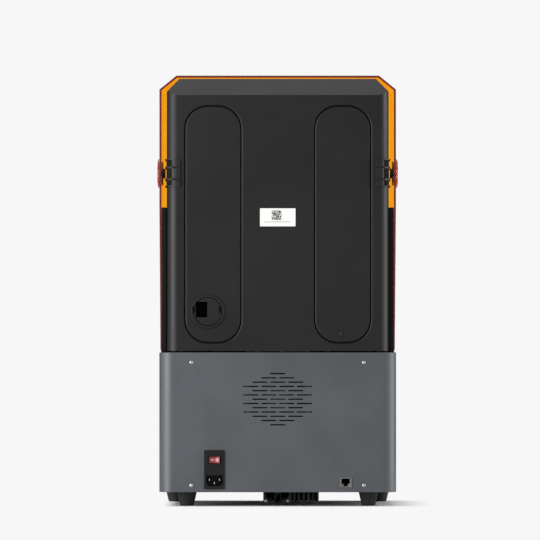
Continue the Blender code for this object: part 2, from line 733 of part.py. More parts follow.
def make_power_inlet():
    x0, x1 = INLET_X
    z0, z1 = INLET_Z
    face = REAR_LIMIT - 0.3
    flange = block(INLET_X, (BASE_Y + GAP, face), INLET_Z)
    inlet = solid(
        "power_inlet",
        soften(flange, 1.5, 2, lambda middle, way: abs(way.y) > 0.99),
        "black_plastic",
    )
    join(inlet, block((x0 + 2.4, x1 - 2.4), (106, BASE_Y + 1), (z0 + 2.7, z1 - 2.4)))
    middle = (x0 + x1) / 2
    socket = (middle, 36.0)
    cut(
        inlet,
        soften(
            block(around(socket[0], 11.8), (116, 140), around(socket[1], 7.6)),
            4,
            1,
            lambda m, way: abs(way.y) > 0.99 and m.z < socket[1],
        ),
        block(around(ROCKER_CENTRE[0], 9.3), (121, 140), around(ROCKER_CENTRE[1], 5.3)),
    )
    pins = [
        block(around(socket[0] + dx, 1.0), (114, 131), around(socket[1] + dz, 2.0))
        for dx, dz in ((-7, 1), (7, 1), (0, -1))
    ]
    join(inlet, *pins)
    x, z = ROCKER_CENTRE
    pivot = (x, 129.0, z)
    profile = ((-7.9, -4), (7.9, -4), (7.9, 4.6), (0, 2.9), (-7.9, 4.6))
    tilt = Matrix.Rotation(math.radians(-7), 4, Z_AXIS)
    rocker = outline((profile,), 9.7, Matrix.Translation(pivot) @ tilt)
    solid("power_rocker", rocker, "red_plastic", pivot)


def make_sockets():
    jack = solid("ethernet_jack", block(ETHERNET_X, (112, REAR_LIMIT - 0.6), ETHERNET_Z), "steel")
    middle = sum(ETHERNET_X) / 2
    cut(
        jack,
        block(around(middle, 5.9), (117, 140), (31.7, 39.0)),
        block(around(middle, 3.2), (117, 140), (28.4, 35.0)),
    )
    front = -REAR_LIMIT
    port = solid("usb_port", block((90, 104), (front + 0.4, -118), (56.5, 63.5)), "steel")
    cut(port, block((90.6, 103.4), (front - 2, -121), (57.1, 62.9)))
    join(port, block((91.5, 102.5), (front + 2, -119), (58.4, 60.2)))


def make_touch_screen():
    front = -REAR_LIMIT
    frame = block((-52, 52), (front, -BASE_Y - GAP), (84, 160))
    soften(frame, 6, 3, lambda middle, way: abs(way.y) > 0.99)
    bezel = solid("touch_screen_bezel", frame, "black_plastic")
    join(bezel, block((-47.5, 47.5), (-135, -124), (88.5, 155.5)))
    cut(bezel, block((-41, 41), (-140, -127), (95, 149)))
    glass = block((-40.7, 40.7), (-135.4, -127.3), (95.3, 148.7))
    solid("touch_screen_glass", glass, "glass")


make_base_housing()
make_plates()
make_feet()
make_rear_screws()
make_rear_shell()
make_back_panel()
make_side_panels()
make_rear_fittings()
make_hinges()
make_hood()
make_column()
make_motor_and_screw()
make_carriage()
make_platform()
make_vat()
make_exposure_unit()
make_fans()
make_electronics()
make_power_inlet()
make_sockets()
make_touch_screen()
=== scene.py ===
import json
import math

import bmesh
import bpy
import numpy as np
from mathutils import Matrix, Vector


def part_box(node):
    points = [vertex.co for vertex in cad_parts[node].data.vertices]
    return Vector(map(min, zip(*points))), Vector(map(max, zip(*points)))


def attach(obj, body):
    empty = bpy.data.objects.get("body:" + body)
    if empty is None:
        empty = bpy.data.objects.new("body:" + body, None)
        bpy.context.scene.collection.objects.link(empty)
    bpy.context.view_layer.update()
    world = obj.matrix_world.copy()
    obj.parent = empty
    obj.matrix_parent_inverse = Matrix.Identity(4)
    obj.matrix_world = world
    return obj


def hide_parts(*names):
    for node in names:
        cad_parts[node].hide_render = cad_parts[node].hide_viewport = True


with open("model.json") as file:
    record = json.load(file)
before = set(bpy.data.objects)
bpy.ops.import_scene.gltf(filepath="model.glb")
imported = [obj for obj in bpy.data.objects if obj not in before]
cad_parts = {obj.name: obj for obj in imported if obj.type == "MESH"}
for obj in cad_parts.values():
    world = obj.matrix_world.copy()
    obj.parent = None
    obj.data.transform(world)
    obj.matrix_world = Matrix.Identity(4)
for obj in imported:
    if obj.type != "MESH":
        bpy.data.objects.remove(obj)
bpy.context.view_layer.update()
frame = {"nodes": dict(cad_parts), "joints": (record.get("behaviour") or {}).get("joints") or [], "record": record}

# ---------------------------------------------------------------- studio
# A pale floor that fades into an even white surround, two tall soft boxes beside the printer,
# one above it, and a long lens that looks at the rear from a little above floor level.

MM = 0.001
scene = bpy.context.scene
scene.view_settings.view_transform = "Standard"


def linear(hex_colour):
    """The linear colour of an sRGB hex value."""
    value = np.array([int(hex_colour[i : i + 2], 16) for i in (1, 3, 5)]) / 255
    curve = np.where(value <= 0.04045, value / 12.92, ((value + 0.055) / 1.055) ** 2.4)
    return (*(float(channel) for channel in curve), 1.0)


def add(tree, kind, settings=None, links=None, **values):
    """One node with its own values, its sockets' settings and the links into it."""
    node = tree.nodes.new(kind)
    for name, value in values.items():
        setattr(node, name, value)
    for socket, value in (settings or {}).items():
        node.inputs[socket].default_value = value
    for socket, source in (links or {}).items():
        tree.links.new(source, node.inputs[socket])
    return node


SURROUND = "#f7f7f7"
world = bpy.data.worlds.new("white_surround")
world.use_nodes = True
scene.world = world
world.node_tree.nodes["Background"].inputs["Color"].default_value = linear(SURROUND)


def soft_box(name, place, target, size, watts):
    """A rectangular area light that faces its target, and isn't seen, even through the hood."""
    data = bpy.data.lights.new(name, "AREA")
    data.shape = "RECTANGLE"
    data.size, data.size_y = size
    data.energy = watts
    lamp = bpy.data.objects.new(name, data)
    scene.collection.objects.link(lamp)
    lamp.visible_camera = False
    lamp.visible_transmission = False
    lamp.location = place
    lamp.rotation_euler = (Vector(target) - Vector(place)).to_track_quat("-Z", "Y").to_euler()


MID_HEIGHT = (0, 0, 0.3)
soft_box("left_box", (1.38, 1.03, 0.55), MID_HEIGHT, (1.0, 1.5), 46)
soft_box("right_box", (-1.72, 0.15, 0.55), MID_HEIGHT, (1.1, 1.5), 31)
soft_box("top_box", (0.3, -0.5, 1.8), MID_HEIGHT, (1.2, 0.9), 5)


CARD_NEAR, CARD_FAR, CARD_HEIGHT = (0.7, -0.2), (0.98, -2.0), 1.6
black_card = bpy.data.materials.new("black_card")
black_card.use_nodes = True
card_shader = black_card.node_tree.nodes["Principled BSDF"]
card_shader.inputs["Base Color"].default_value = (0, 0, 0, 1)
card_shader.inputs["Specular IOR Level"].default_value = 0
for name, side in (("left_flag", 1), ("right_flag", -1)):
    # A tall black card beside and behind the printer darkens its outlines, and isn't seen itself.
    (near_x, near_y), (far_x, far_y) = CARD_NEAR, CARD_FAR
    foot_line = [(side * near_x, near_y, 0), (side * far_x, far_y, 0)]
    head_line = [(side * far_x, far_y, CARD_HEIGHT), (side * near_x, near_y, CARD_HEIGHT)]
    card_mesh = bpy.data.meshes.new(name)
    card_mesh.from_pydata(foot_line + head_line, [], [(0, 1, 2, 3)])
    card_mesh.materials.append(black_card)
    card = bpy.data.objects.new(name, card_mesh)
    scene.collection.objects.link(card)
    card.visible_camera = False

FLOOR_HALF = 1.6
floor_corners = [(x * FLOOR_HALF, y * FLOOR_HALF, 0) for x, y in ((-1, -1), (1, -1), (1, 1), (-1, 1))]
floor_mesh = bpy.data.meshes.new("floor")
floor_mesh.from_pydata(floor_corners, [], [(0, 1, 2, 3)])
floor = bpy.data.objects.new("floor", floor_mesh)
scene.collection.objects.link(floor)


def all_of(tree, *masks):
    """Masks between nought and one, multiplied together."""
    joint = masks[0]
    for mask in masks[1:]:
        joint = add(tree, "ShaderNodeMath", links={0: joint, 1: mask}, operation="MULTIPLY").outputs[0]
    return joint


# The paper is there only near the printer, to take its contact shadow, which is longer at the
# right: each edge is a place along an axis where the paper is whole, and one where it has faded.
PAPER_EDGES = (("X", 0.142, 0.164), ("X", -0.15, -0.23), ("Y", 0.13, 0.17), ("Y", -0.12, -0.16))
paper = bpy.data.materials.new("seamless_paper")
paper.use_nodes = True
tree = paper.node_tree
tree.nodes.clear()
spot = add(tree, "ShaderNodeTexCoord").outputs["Object"]
axes = add(tree, "ShaderNodeSeparateXYZ", links={0: spot})
fades = []
for axis, whole, gone in PAPER_EDGES:
    fade = add(
        tree,
        "ShaderNodeMapRange",
        {"From Min": whole, "From Max": gone, "To Min": 1.0, "To Max": 0.0},
        {"Value": axes.outputs[axis]},
        interpolation_type="SMOOTHSTEP",
    )
    fades.append(fade.outputs["Result"])
matte = add(tree, "ShaderNodeBsdfDiffuse", {"Color": linear("#cdcdcd")}).outputs[0]
clear = add(tree, "ShaderNodeBsdfTransparent").outputs[0]
mixed = add(tree, "ShaderNodeMixShader", links={0: all_of(tree, *fades), 1: clear, 2: matte})
add(tree, "ShaderNodeOutputMaterial", links={"Surface": mixed.outputs[0]})
floor_mesh.materials.append(paper)

camera_data = bpy.data.cameras.new("rear_camera")
camera = bpy.data.objects.new("rear_camera", camera_data)
scene.collection.objects.link(camera)
scene.camera = camera
camera_data.sensor_width = 36.0
camera_data.lens = 379.0
camera_data.clip_end = 100.0
REAR_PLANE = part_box("base_housing")[1].y
VIEW_SIDE, VIEW_DISTANCE = 0.0109, 8.0
VIEW_POINT = Vector((VIEW_SIDE, REAR_PLANE + VIEW_DISTANCE, 0.25))
VIEW_AIM = Vector((VIEW_SIDE, REAR_PLANE, 0.3325))
camera.location = VIEW_POINT
camera.rotation_euler = (VIEW_AIM - VIEW_POINT).to_track_quat("-Z", "Y").to_euler()

# ---------------------------------------------------------------- base housing
# A box of 2 mm sheet steel, folded round large upright corners and powder coated dark grey.
# The rear is punched with rows of short slots for the fan and with cut-outs for the sockets.

body_of = {
    node: body for body, nodes in frame["record"]["behaviour"]["bodies"].items() for node in nodes
}


def grained(
    name, deep, pale, grain, cloud, rough,
    metallic=0.0, specular=0.5, relief=0.02, worn=None, stretch=(1, 1, 1), sunk=False,
):
    """A finish whose colour and gloss vary with a fine grain and a slow cloudiness.

    Grain, cloud and relief are in millimetres. Where worn is a colour, sharp outer edges rub
    through to it: there the normal and the mean normal round about part. Stretch above one
    squeezes the grain along that axis, as brushing does. When the last argument is true, the
    finish is painted black and dull where the mesh's own attribute of that name is one: painted
    shade in grooves, pockets and holes, and the real black insert inside the network socket.
    """
    material = bpy.data.materials.new(name)
    material.use_nodes = True
    nodes = material.node_tree
    nodes.nodes.clear()
    spot = add(nodes, "ShaderNodeTexCoord").outputs["Object"]
    drawn = add(nodes, "ShaderNodeMapping", {"Scale": stretch}, {"Vector": spot}).outputs[0]
    fine_scale = {"Scale": 1 / (grain * MM), "Detail": 3.0}
    fine = add(nodes, "ShaderNodeTexNoise", fine_scale, {"Vector": drawn}).outputs[0]
    slow_scale = {"Scale": 1 / (cloud * MM), "Detail": 2.0}
    slow = add(nodes, "ShaderNodeTexNoise", slow_scale, {"Vector": spot}).outputs[0]
    both = add(nodes, "ShaderNodeMath", links={0: fine, 1: slow}, operation="ADD").outputs[0]
    share = add(nodes, "ShaderNodeMapRange", {"From Min": 0.8, "From Max": 1.2}, {"Value": both})
    colours = {6: linear(deep), 7: linear(pale)}
    tone = add(nodes, "ShaderNodeMix", colours, {0: share.outputs["Result"]}, data_type="RGBA").outputs[2]
    gloss_range = {"From Min": 0.3, "From Max": 0.7, "To Min": rough[0], "To Max": rough[1]}
    gloss = add(nodes, "ShaderNodeMapRange", gloss_range, {"Value": slow}).outputs["Result"]
    if worn:
        facing = add(nodes, "ShaderNodeNewGeometry").outputs["Normal"]
        mean = add(nodes, "ShaderNodeBevel", {"Radius": 0.8 * MM}, samples=4).outputs[0]
        alike = add(nodes, "ShaderNodeVectorMath", links={0: facing, 1: mean}, operation="DOT_PRODUCT")
        rub_range = {"From Min": 0.97, "From Max": 0.8, "To Min": 0.0, "To Max": 0.5}
        rubbed = add(nodes, "ShaderNodeMapRange", rub_range, {"Value": alike.outputs["Value"]})
        patchy = all_of(nodes, rubbed.outputs["Result"], fine)
        tone = add(
            nodes, "ShaderNodeMix", {7: linear(worn)}, {0: patchy, 6: tone}, data_type="RGBA"
        ).outputs[2]
    if sunk:
        # Painted shade: black, and duller, where the mesh marks a point as out of the light; in the network socket
        # the same mark is its real black insert.
        unlit = add(nodes, "ShaderNodeAttribute", attribute_name="sunk").outputs["Fac"]
        black = {7: (0, 0, 0, 1)}
        tone = add(
            nodes, "ShaderNodeMix", black, {0: unlit, 6: tone}, data_type="RGBA"
        ).outputs[2]
        dull = add(nodes, "ShaderNodeMath", {1: 0.5}, {0: unlit}, operation="MULTIPLY").outputs[0]
        gloss = add(nodes, "ShaderNodeMath", links={0: gloss, 1: dull}, operation="ADD").outputs[0]
    bump = add(nodes, "ShaderNodeBump", {"Strength": 1.0, "Distance": relief * MM}, {"Height": fine})
    shader = add(
        nodes,
        "ShaderNodeBsdfPrincipled",
        {"Metallic": metallic, "Specular IOR Level": specular},
        {"Base Color": tone, "Roughness": gloss, "Normal": bump.outputs[0]},
    )
    add(nodes, "ShaderNodeOutputMaterial", links={"Surface": shader.outputs[0]})
    return material


def grid_quads(rows, columns, wrap_rows=False, wrap_columns=False):
    """The quads of a grid of points; a wrapped direction joins its last line to its first."""
    row = np.arange(rows if wrap_rows else rows - 1)[:, None]
    column = np.arange(columns if wrap_columns else columns - 1)[None, :]
    below, right = (row + 1) % rows, (column + 1) % columns
    near, far = row * columns, below * columns
    corners = (near + column, near + right, far + right, far + column)
    return np.stack(np.broadcast_arrays(*corners), axis=-1).reshape(-1, 4).tolist()


def eased(corners, radius, steps=4, closed=True):
    """An outline with each corner replaced by a curve that leaves it one radius before and after."""
    points = np.asarray(corners, float)
    before, after = np.roll(points, 1, 0) - points, np.roll(points, -1, 0) - points
    before /= np.linalg.norm(before, axis=1, keepdims=True)
    after /= np.linalg.norm(after, axis=1, keepdims=True)
    t = np.linspace(0, 1, steps + 1)[None, :, None]
    middle = points[:, None]
    start, end = (points + before * radius)[:, None], (points + after * radius)[:, None]
    curve = (1 - t) ** 2 * start + 2 * t * (1 - t) * middle + t**2 * end
    if closed:
        return curve.reshape(-1, points.shape[1])
    return np.concatenate([points[:1], curve[1:-1].reshape(-1, points.shape[1]), points[-1:]])


def rounded_rectangle(half_x, half_y, radius, steps):
    """A rectangle with round corners, counter-clockwise: corner centres plus a quarter circle each."""
    turn = (np.arange(4)[:, None] + np.linspace(0, 1, steps + 1)[None]) * math.pi / 2
    side_x = np.array([1, -1, -1, 1])[:, None] * (half_x - radius)
    side_y = np.array([1, 1, -1, -1])[:, None] * (half_y - radius)
    return np.stack([side_x + radius * np.cos(turn), side_y + radius * np.sin(turn)], -1).reshape(-1, 2)


def capped(loops):
    """Loops of points joined one to the next, with the first and the last closed by a cap."""
    count, size = loops.shape[:2]
    faces = grid_quads(count, size, wrap_columns=True)
    faces += [list(range(size))[::-1], list(range((count - 1) * size, count * size))]
    return loops.reshape(-1, 3), faces


def mesh_object(name, parts):
    """One object from (points, faces) parts, with doubles merged and faces turned outwards."""
    points, faces, start = [], [], 0
    for part_points, part_faces in parts:
        part_points = np.asarray(part_points).reshape(-1, 3)
        points.append(part_points)
        faces += [[corner + start for corner in face] for face in part_faces]
        start += len(part_points)
    mesh = bpy.data.meshes.new(name)
    mesh.from_pydata(np.concatenate(points).tolist(), [], faces)
    shape = bmesh.new()
    shape.from_mesh(mesh)
    bmesh.ops.remove_doubles(shape, verts=shape.verts, dist=0.002 * MM)
    bmesh.ops.dissolve_degenerate(shape, edges=shape.edges, dist=0.001 * MM)
    bmesh.ops.recalc_face_normals(shape, faces=shape.faces)
    shape.to_mesh(mesh)
    shape.free()
    obj = bpy.data.objects.new(name, mesh)
    scene.collection.objects.link(obj)
    return obj


def apply_modifiers(obj):
    """The object's mesh as its modifiers leave it, with no modifier left on it."""
    bpy.context.view_layer.update()
    graph = bpy.context.evaluated_depsgraph_get()
    made = bpy.data.meshes.new_from_object(obj.evaluated_get(graph), depsgraph=graph)
    obj.modifiers.clear()
    obj.data = made


def finish_piece(obj, nodes, material, wall=0.0, cutters=(), edge=0.0, steps=2, crease=32):
    """Gives a piece its wall, cut-outs and eased edges in millimetres, its finish and its body."""
    if wall:
        solidify = obj.modifiers.new("wall", "SOLIDIFY")
        solidify.thickness = wall * MM
        solidify.offset = -1
        solidify.use_even_offset = True
    if edge:
        bevel = obj.modifiers.new("edge", "BEVEL")
        bevel.width, bevel.segments = edge * MM, steps
        bevel.limit_method, bevel.angle_limit = "ANGLE", math.radians(crease)
        bevel.miter_outer = "MITER_ARC"
    for cutter in cutters:
        cut = obj.modifiers.new("cut", "BOOLEAN")
        cut.operation, cut.solver, cut.object = "DIFFERENCE", "EXACT", cutter
    apply_modifiers(obj)
    for cutter in cutters:
        bpy.data.objects.remove(cutter)
    obj.data.shade_smooth()
    obj.data.set_sharp_from_angle(angle=math.radians(50))
    normals = obj.modifiers.new("normals", "WEIGHTED_NORMAL")
    normals.keep_sharp = True
    apply_modifiers(obj)
    obj.data.materials.clear()
    obj.data.materials.append(material)
    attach(obj, body_of[nodes[0]])
    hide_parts(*nodes)
    return obj


def small_extra(obj, material, beside):
    """Finishes a small piece that stands for no CAD node and rides on the body of the one beside it."""
    obj.data.materials.append(material)
    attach(obj, body_of[beside])


def through_rear(outlines, low_y, high_y):
    """Cutters from outlines in X and Z, each carried from one Y to another."""
    parts = []
    for outline in outlines:
        ends = [np.insert(outline, 1, y, axis=1) for y in (low_y, high_y)]
        parts.append(capped(np.stack(ends)))
    return mesh_object("cutter", parts)


def centred(outline, x, z):
    """An outline moved from the origin to a place."""
    return outline + np.array([x, z])


def middle_of(node):
    """The middle of a CAD node's box and half its size, in metres."""
    low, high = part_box(node)
    return (low + high) / 2, (high - low) / 2


base_low, base_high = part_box("base_housing")
BASE_CORNER, SHEET = 20.0, 2.0
# The wall ends 1.5 mm below the cover's seat, which leaves a dark joint between the two.
wall_top = base_high.z - 1.5 * MM
inner = [(-SHEET * MM, wall_top), (-SHEET * MM, base_low.z)]
turn = np.linspace(0, math.pi / 2, 7)
rolled = 1.2 * MM * np.stack([np.cos(turn) - 1, np.sin(turn) - 1], -1) + np.array([0, wall_top])
cross = np.concatenate([[(-0.6 * MM, base_low.z), (0, base_low.z + 0.6 * MM)], rolled, inner])
loops = []
for inset, z in cross:
    plan = rounded_rectangle(base_high.x + inset, base_high.y + inset, BASE_CORNER * MM + inset, 16)
    loops.append(np.insert(plan, 2, z, axis=1))
base_grid = np.stack(loops)
base = mesh_object(
    "folded_base",
    [(base_grid, grid_quads(len(base_grid), base_grid.shape[1], wrap_rows=True, wrap_columns=True))],
)

SLOT_ROWS, SLOT_PITCH, SLOT_SIZE, SLOT_MIDDLE = 13, (25.1, 6.0), (21.5, 2.0), 150.7
slot_outline = rounded_rectangle(SLOT_SIZE[0] / 2 * MM, SLOT_SIZE[1] / 2 * MM, 0.9 * MM, 5)
openings = []
for row in range(SLOT_ROWS):
    count = min(row + 1, SLOT_ROWS - row, 3 + row % 2)
    z = (SLOT_MIDDLE + (row - (SLOT_ROWS - 1) / 2) * SLOT_PITCH[1]) * MM
    for column in range(count):
        openings.append(centred(slot_outline, (column - (count - 1) / 2) * SLOT_PITCH[0] * MM, z))
for node, margin in (("power_inlet", -2.0), ("ethernet_jack", 0.3)):
    middle, half = middle_of(node)
    outline = rounded_rectangle(half.x + margin * MM, half.z + margin * MM, 0.5 * MM, 3)
    openings.append(centred(outline, middle.x, middle.z))
REAR_SCREWS = [f"rear_screw_{row}_{side}" for row in ("upper", "lower") for side in ("left", "right")]
for node in REAR_SCREWS:
    middle, _ = middle_of(node)
    openings.append(centred(rounded_rectangle(2.2 * MM, 2.2 * MM, 2.19 * MM, 5), middle.x, middle.z))
rear_cutter = through_rear(openings, base_high.y - 6 * MM, base_high.y + 3 * MM)
front_openings = []
for node, margin in (("touch_screen_bezel", -4.0), ("usb_port", 0.3)):
    middle, half = middle_of(node)
    outline = rounded_rectangle(half.x + margin * MM, half.z + margin * MM, 0.5 * MM, 3)
    front_openings.append(centred(outline, middle.x, middle.z))
front_cutter = through_rear(front_openings, base_low.y - 3 * MM, base_low.y + 6 * MM)

# Powder coat: an even, slightly pebbled skin with a satin gloss; the pebble is drawn at 1.2 mm,
# coarser than the real 0.3 mm, so that it still shows.
powder_coat = grained(
    "powder_coated_steel", "#33363a", "#3a3d41", 1.2, 60, (0.44, 0.52), specular=0.48, relief=0.03,
    worn="#7d8286",
)
finish_piece(base, ["base_housing"], powder_coat, cutters=(rear_cutter, front_cutter))

# ---------------------------------------------------------------- sheet-metal plates
# The bottom plate and the deck are flat blanks of the same coated steel, screwed inside the base.


def broken_edges(node, material, edge, steps=2):
    """The CAD piece with flat faces made whole and its sharp edges eased by a few tenths."""
    source = frame["nodes"][node]
    shape = bmesh.new()
    shape.from_mesh(source.data)
    bmesh.ops.remove_doubles(shape, verts=shape.verts, dist=0.005 * MM)
    flat = math.radians(0.6)
    bmesh.ops.dissolve_limit(shape, angle_limit=flat, verts=shape.verts, edges=shape.edges)
    mesh = bpy.data.meshes.new(node)
    shape.to_mesh(mesh)
    shape.free()
    obj = bpy.data.objects.new(f"{node}_finished", mesh)
    scene.collection.objects.link(obj)
    return finish_piece(obj, [node], material, edge=edge, steps=steps)


broken_edges("bottom_plate", powder_coat, 0.3)
# The deck is coated in dull black, so that it reflects little of the exposure light.
black_coat = grained(
    "black_powder_coat", "#060606", "#0a0a0a", 1.2, 60, (0.5, 0.6), specular=0.15, relief=0.03
)
broken_edges("top_deck", black_coat, 0.3)

# ---------------------------------------------------------------- feet
# Four tapered feet, moulded in black rubber round a steel washer and screwed under the base.


def turned(profile, centre, axis=(0, 0, 1), sides=72):
    """A profile of (radius, height) points carried round an axis through the centre."""
    axis = Vector(axis).normalized()
    across = axis.orthogonal().normalized()
    other = axis.cross(across)
    angle = np.linspace(0, math.tau, sides, endpoint=False)[None, :, None]
    radius, height = np.asarray(profile, float).T * MM
    ring = np.cos(angle) * np.array(across) + np.sin(angle) * np.array(other)
    points = np.array(centre) + radius[:, None, None] * ring + height[:, None, None] * np.array(axis)
    return points, grid_quads(len(profile), sides, wrap_columns=True)


# Rubber: dull, very dark, with a faint mould bloom.
moulded_rubber = grained(
    "moulded_rubber", "#161616", "#1f1f1f", 0.9, 12, (0.7, 0.9), specular=0.3, relief=0.04
)
for node in (f"foot_{end}_{side}" for end in ("front", "rear") for side in ("left", "right")):
    middle, half = middle_of(node)
    tall = 2 * half.z / MM
    profile = [
        (0, tall), (13.6, tall), (14, tall - 0.6), (9.8, 1.4),
        (8.6, 0), (5, 0), (4.4, 1.2), (0, 1.2),
    ]
    seat = (middle.x, middle.y, middle.z - half.z)
    foot = mesh_object(f"tapered_{node}", [turned(eased(profile, 0.35, 4, closed=False), seat)])
    finish_piece(foot, [node], moulded_rubber)

# ---------------------------------------------------------------- rear screws
# Pan-head machine screws of bright zinc-plated steel with a cross recess.

# Zinc plating: pale, slightly blue, with a soft shine.
zinc_plate = grained(
    "zinc_plated_steel", "#8e9193", "#b2b4b6", 0.5, 6, (0.34, 0.46), metallic=1.0, relief=0.008
)
HEAD_PROFILE = [
    (0, 1.5), (1.2, 1.42), (2.3, 0.95), (2.8, 0.25), (2.8, 0), (1.8, 0), (1.8, -6), (0, -6),
]
ARM_LONG, ARM_WIDE = 1.5 * MM, 0.28 * MM
for node in REAR_SCREWS:
    middle, half = middle_of(node)
    seat = middle.y + half.y - HEAD_PROFILE[0][1] * MM
    profile = eased(HEAD_PROFILE, 0.12, 2, closed=False)
    head = turned(profile, (middle.x, seat, middle.z), (0, 1, 0), sides=40)
    recess = []
    for arm in ((ARM_LONG, ARM_WIDE), (ARM_WIDE, ARM_LONG)):
        slot_end = centred(rounded_rectangle(*arm, 0.1 * MM, 2), middle.x, middle.z)
        recess.append(through_rear([slot_end], seat + 0.5 * MM, seat + 3 * MM))
    finish_piece(mesh_object(f"pan_head_{node}", [head]), [node], zinc_plate, cutters=recess)

# ---------------------------------------------------------------- rear shell
# One deep moulding in matt black ABS. Its rear face has two long pill outlines sunk into it as
# narrow grooves with soft lips, its upper corners are cut off, and its top slopes down to the rear.


def cover_surface(y, half, roof, foot, wall_rows, roof_columns, corner):
    """Sides, cut corners and roof of a cover, one section for each place along Y.

    A section climbs its wall from the foot to the shoulder, follows the cut corner, which falls by
    drop over run from corner_x at the top, to the roof, and crosses to the other side.
    """
    corner_x, top, run, drop = corner
    shoulder = np.minimum(roof, top - np.maximum(half - corner_x, 0) * drop / run)
    inner = np.minimum(corner_x + (top - roof) * run / drop, half)
    t, c = wall_rows[None], np.linspace(0, 1, 5)[None, 1:-1]
    wall_x = np.broadcast_to(half[:, None], (len(y), len(wall_rows)))
    wall_z = foot[:, None] + t * (shoulder - foot)[:, None]
    cut_x = half[:, None] + c * (inner - half)[:, None]
    cut_z = shoulder[:, None] + c * (roof - shoulder)[:, None]
    roof_x = roof_columns[None] * inner[:, None]
    roof_z = np.broadcast_to(roof[:, None], roof_x.shape)
    x = np.concatenate([wall_x, cut_x, roof_x, -cut_x[:, ::-1], -wall_x[:, ::-1]], axis=1)
    z = np.concatenate([wall_z, cut_z, roof_z, cut_z[:, ::-1], wall_z[:, ::-1]], axis=1)
    points = np.stack([x, np.broadcast_to(y[:, None], x.shape), z], axis=-1)
    return points, grid_quads(*x.shape)


shell_low, shell_high = (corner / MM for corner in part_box("rear_shell"))
SHELL_CORNER, SHELL_WALL = 16.0, 3.8
SLOPE_START, SLOPE_END, SEAT_GAP = 98.0, 579.0, 1.4
SHELL_CUT = (shell_high.x - 17.5, shell_high.z, 17.5, 19.2)
corner_start = shell_high.y - SHELL_CORNER
turn = np.linspace(0, math.pi / 2, 17)
along = np.concatenate(
    [np.linspace(shell_low.y, SLOPE_START, 5), [106], corner_start + SHELL_CORNER * np.sin(turn)]
)
half = np.where(
    along > corner_start,
    shell_high.x - SHELL_CORNER + np.sqrt(np.maximum(SHELL_CORNER**2 - (along - corner_start) ** 2, 0)),
    shell_high.x,
)
fall = (shell_high.z - SLOPE_END) / (shell_high.y - SLOPE_START)
roof = np.minimum(shell_high.z, shell_high.z - (along - SLOPE_START) * fall)
foot = np.full_like(along, shell_low.z + SEAT_GAP)
wall_rows, columns = np.linspace(0, 1, 20), np.linspace(1, -1, 16)
outer = cover_surface(along, half, roof, foot, wall_rows, columns, SHELL_CUT)


def end_wall(x_half, y, low, high, rows, across):
    """The flat wall that closes a cover: a plain grid in X and Z between its foot and its roof."""
    x = np.broadcast_to(across[None] * x_half, (len(rows), len(across)))
    z = np.broadcast_to((low + rows * (high - low))[:, None], x.shape)
    return np.stack([x, np.full(x.shape, y), z], axis=-1) * MM, grid_quads(*x.shape)


rear_wall = end_wall(half[-1], along[-1], foot[-1], roof[-1], wall_rows, columns)
shell = mesh_object("column_cover", [(outer[0] * MM, outer[1]), rear_wall])

PILL_MIDDLE, PILL_HALF, PILL_CORNER = (91.3, 396.8), (39.5, 166.7), 32.5
SLOT_HALF, SLOT_DEEP, LIP = 0.7, 3.0, 1.9
lip_turn = np.radians(np.linspace(84, 0, 8))
lip_side = np.stack([SLOT_HALF + LIP * (1 - np.cos(lip_turn)), LIP * (np.sin(lip_turn) - 1)], -1)
half_profile = np.concatenate(
    [[(SLOT_HALF + LIP + 0.1, 1.0), (SLOT_HALF + LIP, 0.01)], lip_side, [(SLOT_HALF * 0.8, -SLOT_DEEP)]]
)
groove_profile = np.concatenate([half_profile, half_profile[::-1] * (-1, 1)])


def pill_ring(middle_x):
    """A groove's cutter: its cross-section carried round a pill, offset from the centre line."""
    loops = []
    for offset, height in groove_profile:
        path = rounded_rectangle(PILL_HALF[0] + offset, PILL_HALF[1] + offset, PILL_CORNER + offset, 24)
        ring = centred(path, middle_x, PILL_MIDDLE[1])
        loops.append(np.insert(ring, 1, shell_high.y + height, axis=1) * MM)
    loops = np.stack(loops)
    faces = grid_quads(*loops.shape[:2], wrap_rows=True, wrap_columns=True)
    return mesh_object("cutter", [(loops, faces)])


round_holes = []
for node, radius in (("rear_port_cover", 21.2), ("cable_plug", 2.6)):
    middle, _ = middle_of(node)
    circle = rounded_rectangle(radius * MM, radius * MM, radius * 0.999 * MM, 20)
    round_holes.append(centred(circle, middle.x, middle.z))
hole_cutter = through_rear(round_holes, (shell_high.y - 12) * MM, (shell_high.y + 5) * MM)

# Textured ABS: matt black with the fine even grain of a spark-eroded mould, drawn at 1.4 mm.
# Where a piece marks it, it is painted black as shade.
moulded_abs = grained(
    "moulded_black_abs", "#0c0c0c", "#101010", 1.4, 80, (0.42, 0.5), specular=0.22, relief=0.03,
    sunk=True,
)
cutters = (hole_cutter, pill_ring(PILL_MIDDLE[0]), pill_ring(-PILL_MIDDLE[0]))
finish_piece(
    shell, ["rear_shell"], moulded_abs, wall=SHELL_WALL, cutters=cutters, edge=0.8, steps=3, crease=20
)


def places_of(obj):
    """X, Y and Z of the object's points in millimetres, as three rows."""
    place = np.empty(len(obj.data.vertices) * 3, np.float32)
    obj.data.vertices.foreach_get("co", place)
    return place.reshape(-1, 3).T / MM


def mark_painted_shade_and_insert(obj, share):
    """Writes the share, from nought to one, by which each point is painted black.

    On the covers and the bracket this is painted shade, where the point lies out of the light;
    in the network socket it is the socket's real black insert.
    """
    sunk = obj.data.attributes.new("sunk", "FLOAT", "POINT")
    sunk.data.foreach_set("value", np.clip(share, 0, 1).astype(np.float32))


# Painted shade: the bottoms of the grooves, and the walls of the round holes, are painted black,
# nought at 1.5 mm deep and one at 2.4 mm, as little light reaches them. Points beyond the pills
# and above them, such as those of the roof, stay at nought.
x, y, z = places_of(shell)
ROOF_FOOT = 570.0
counted = (np.abs(x) < PILL_MIDDLE[0] + PILL_HALF[0] + 5) & (z < ROOF_FOOT)
mark_painted_shade_and_insert(shell, np.where(counted, (shell_high.y - y - 1.5) / 0.9, 0))
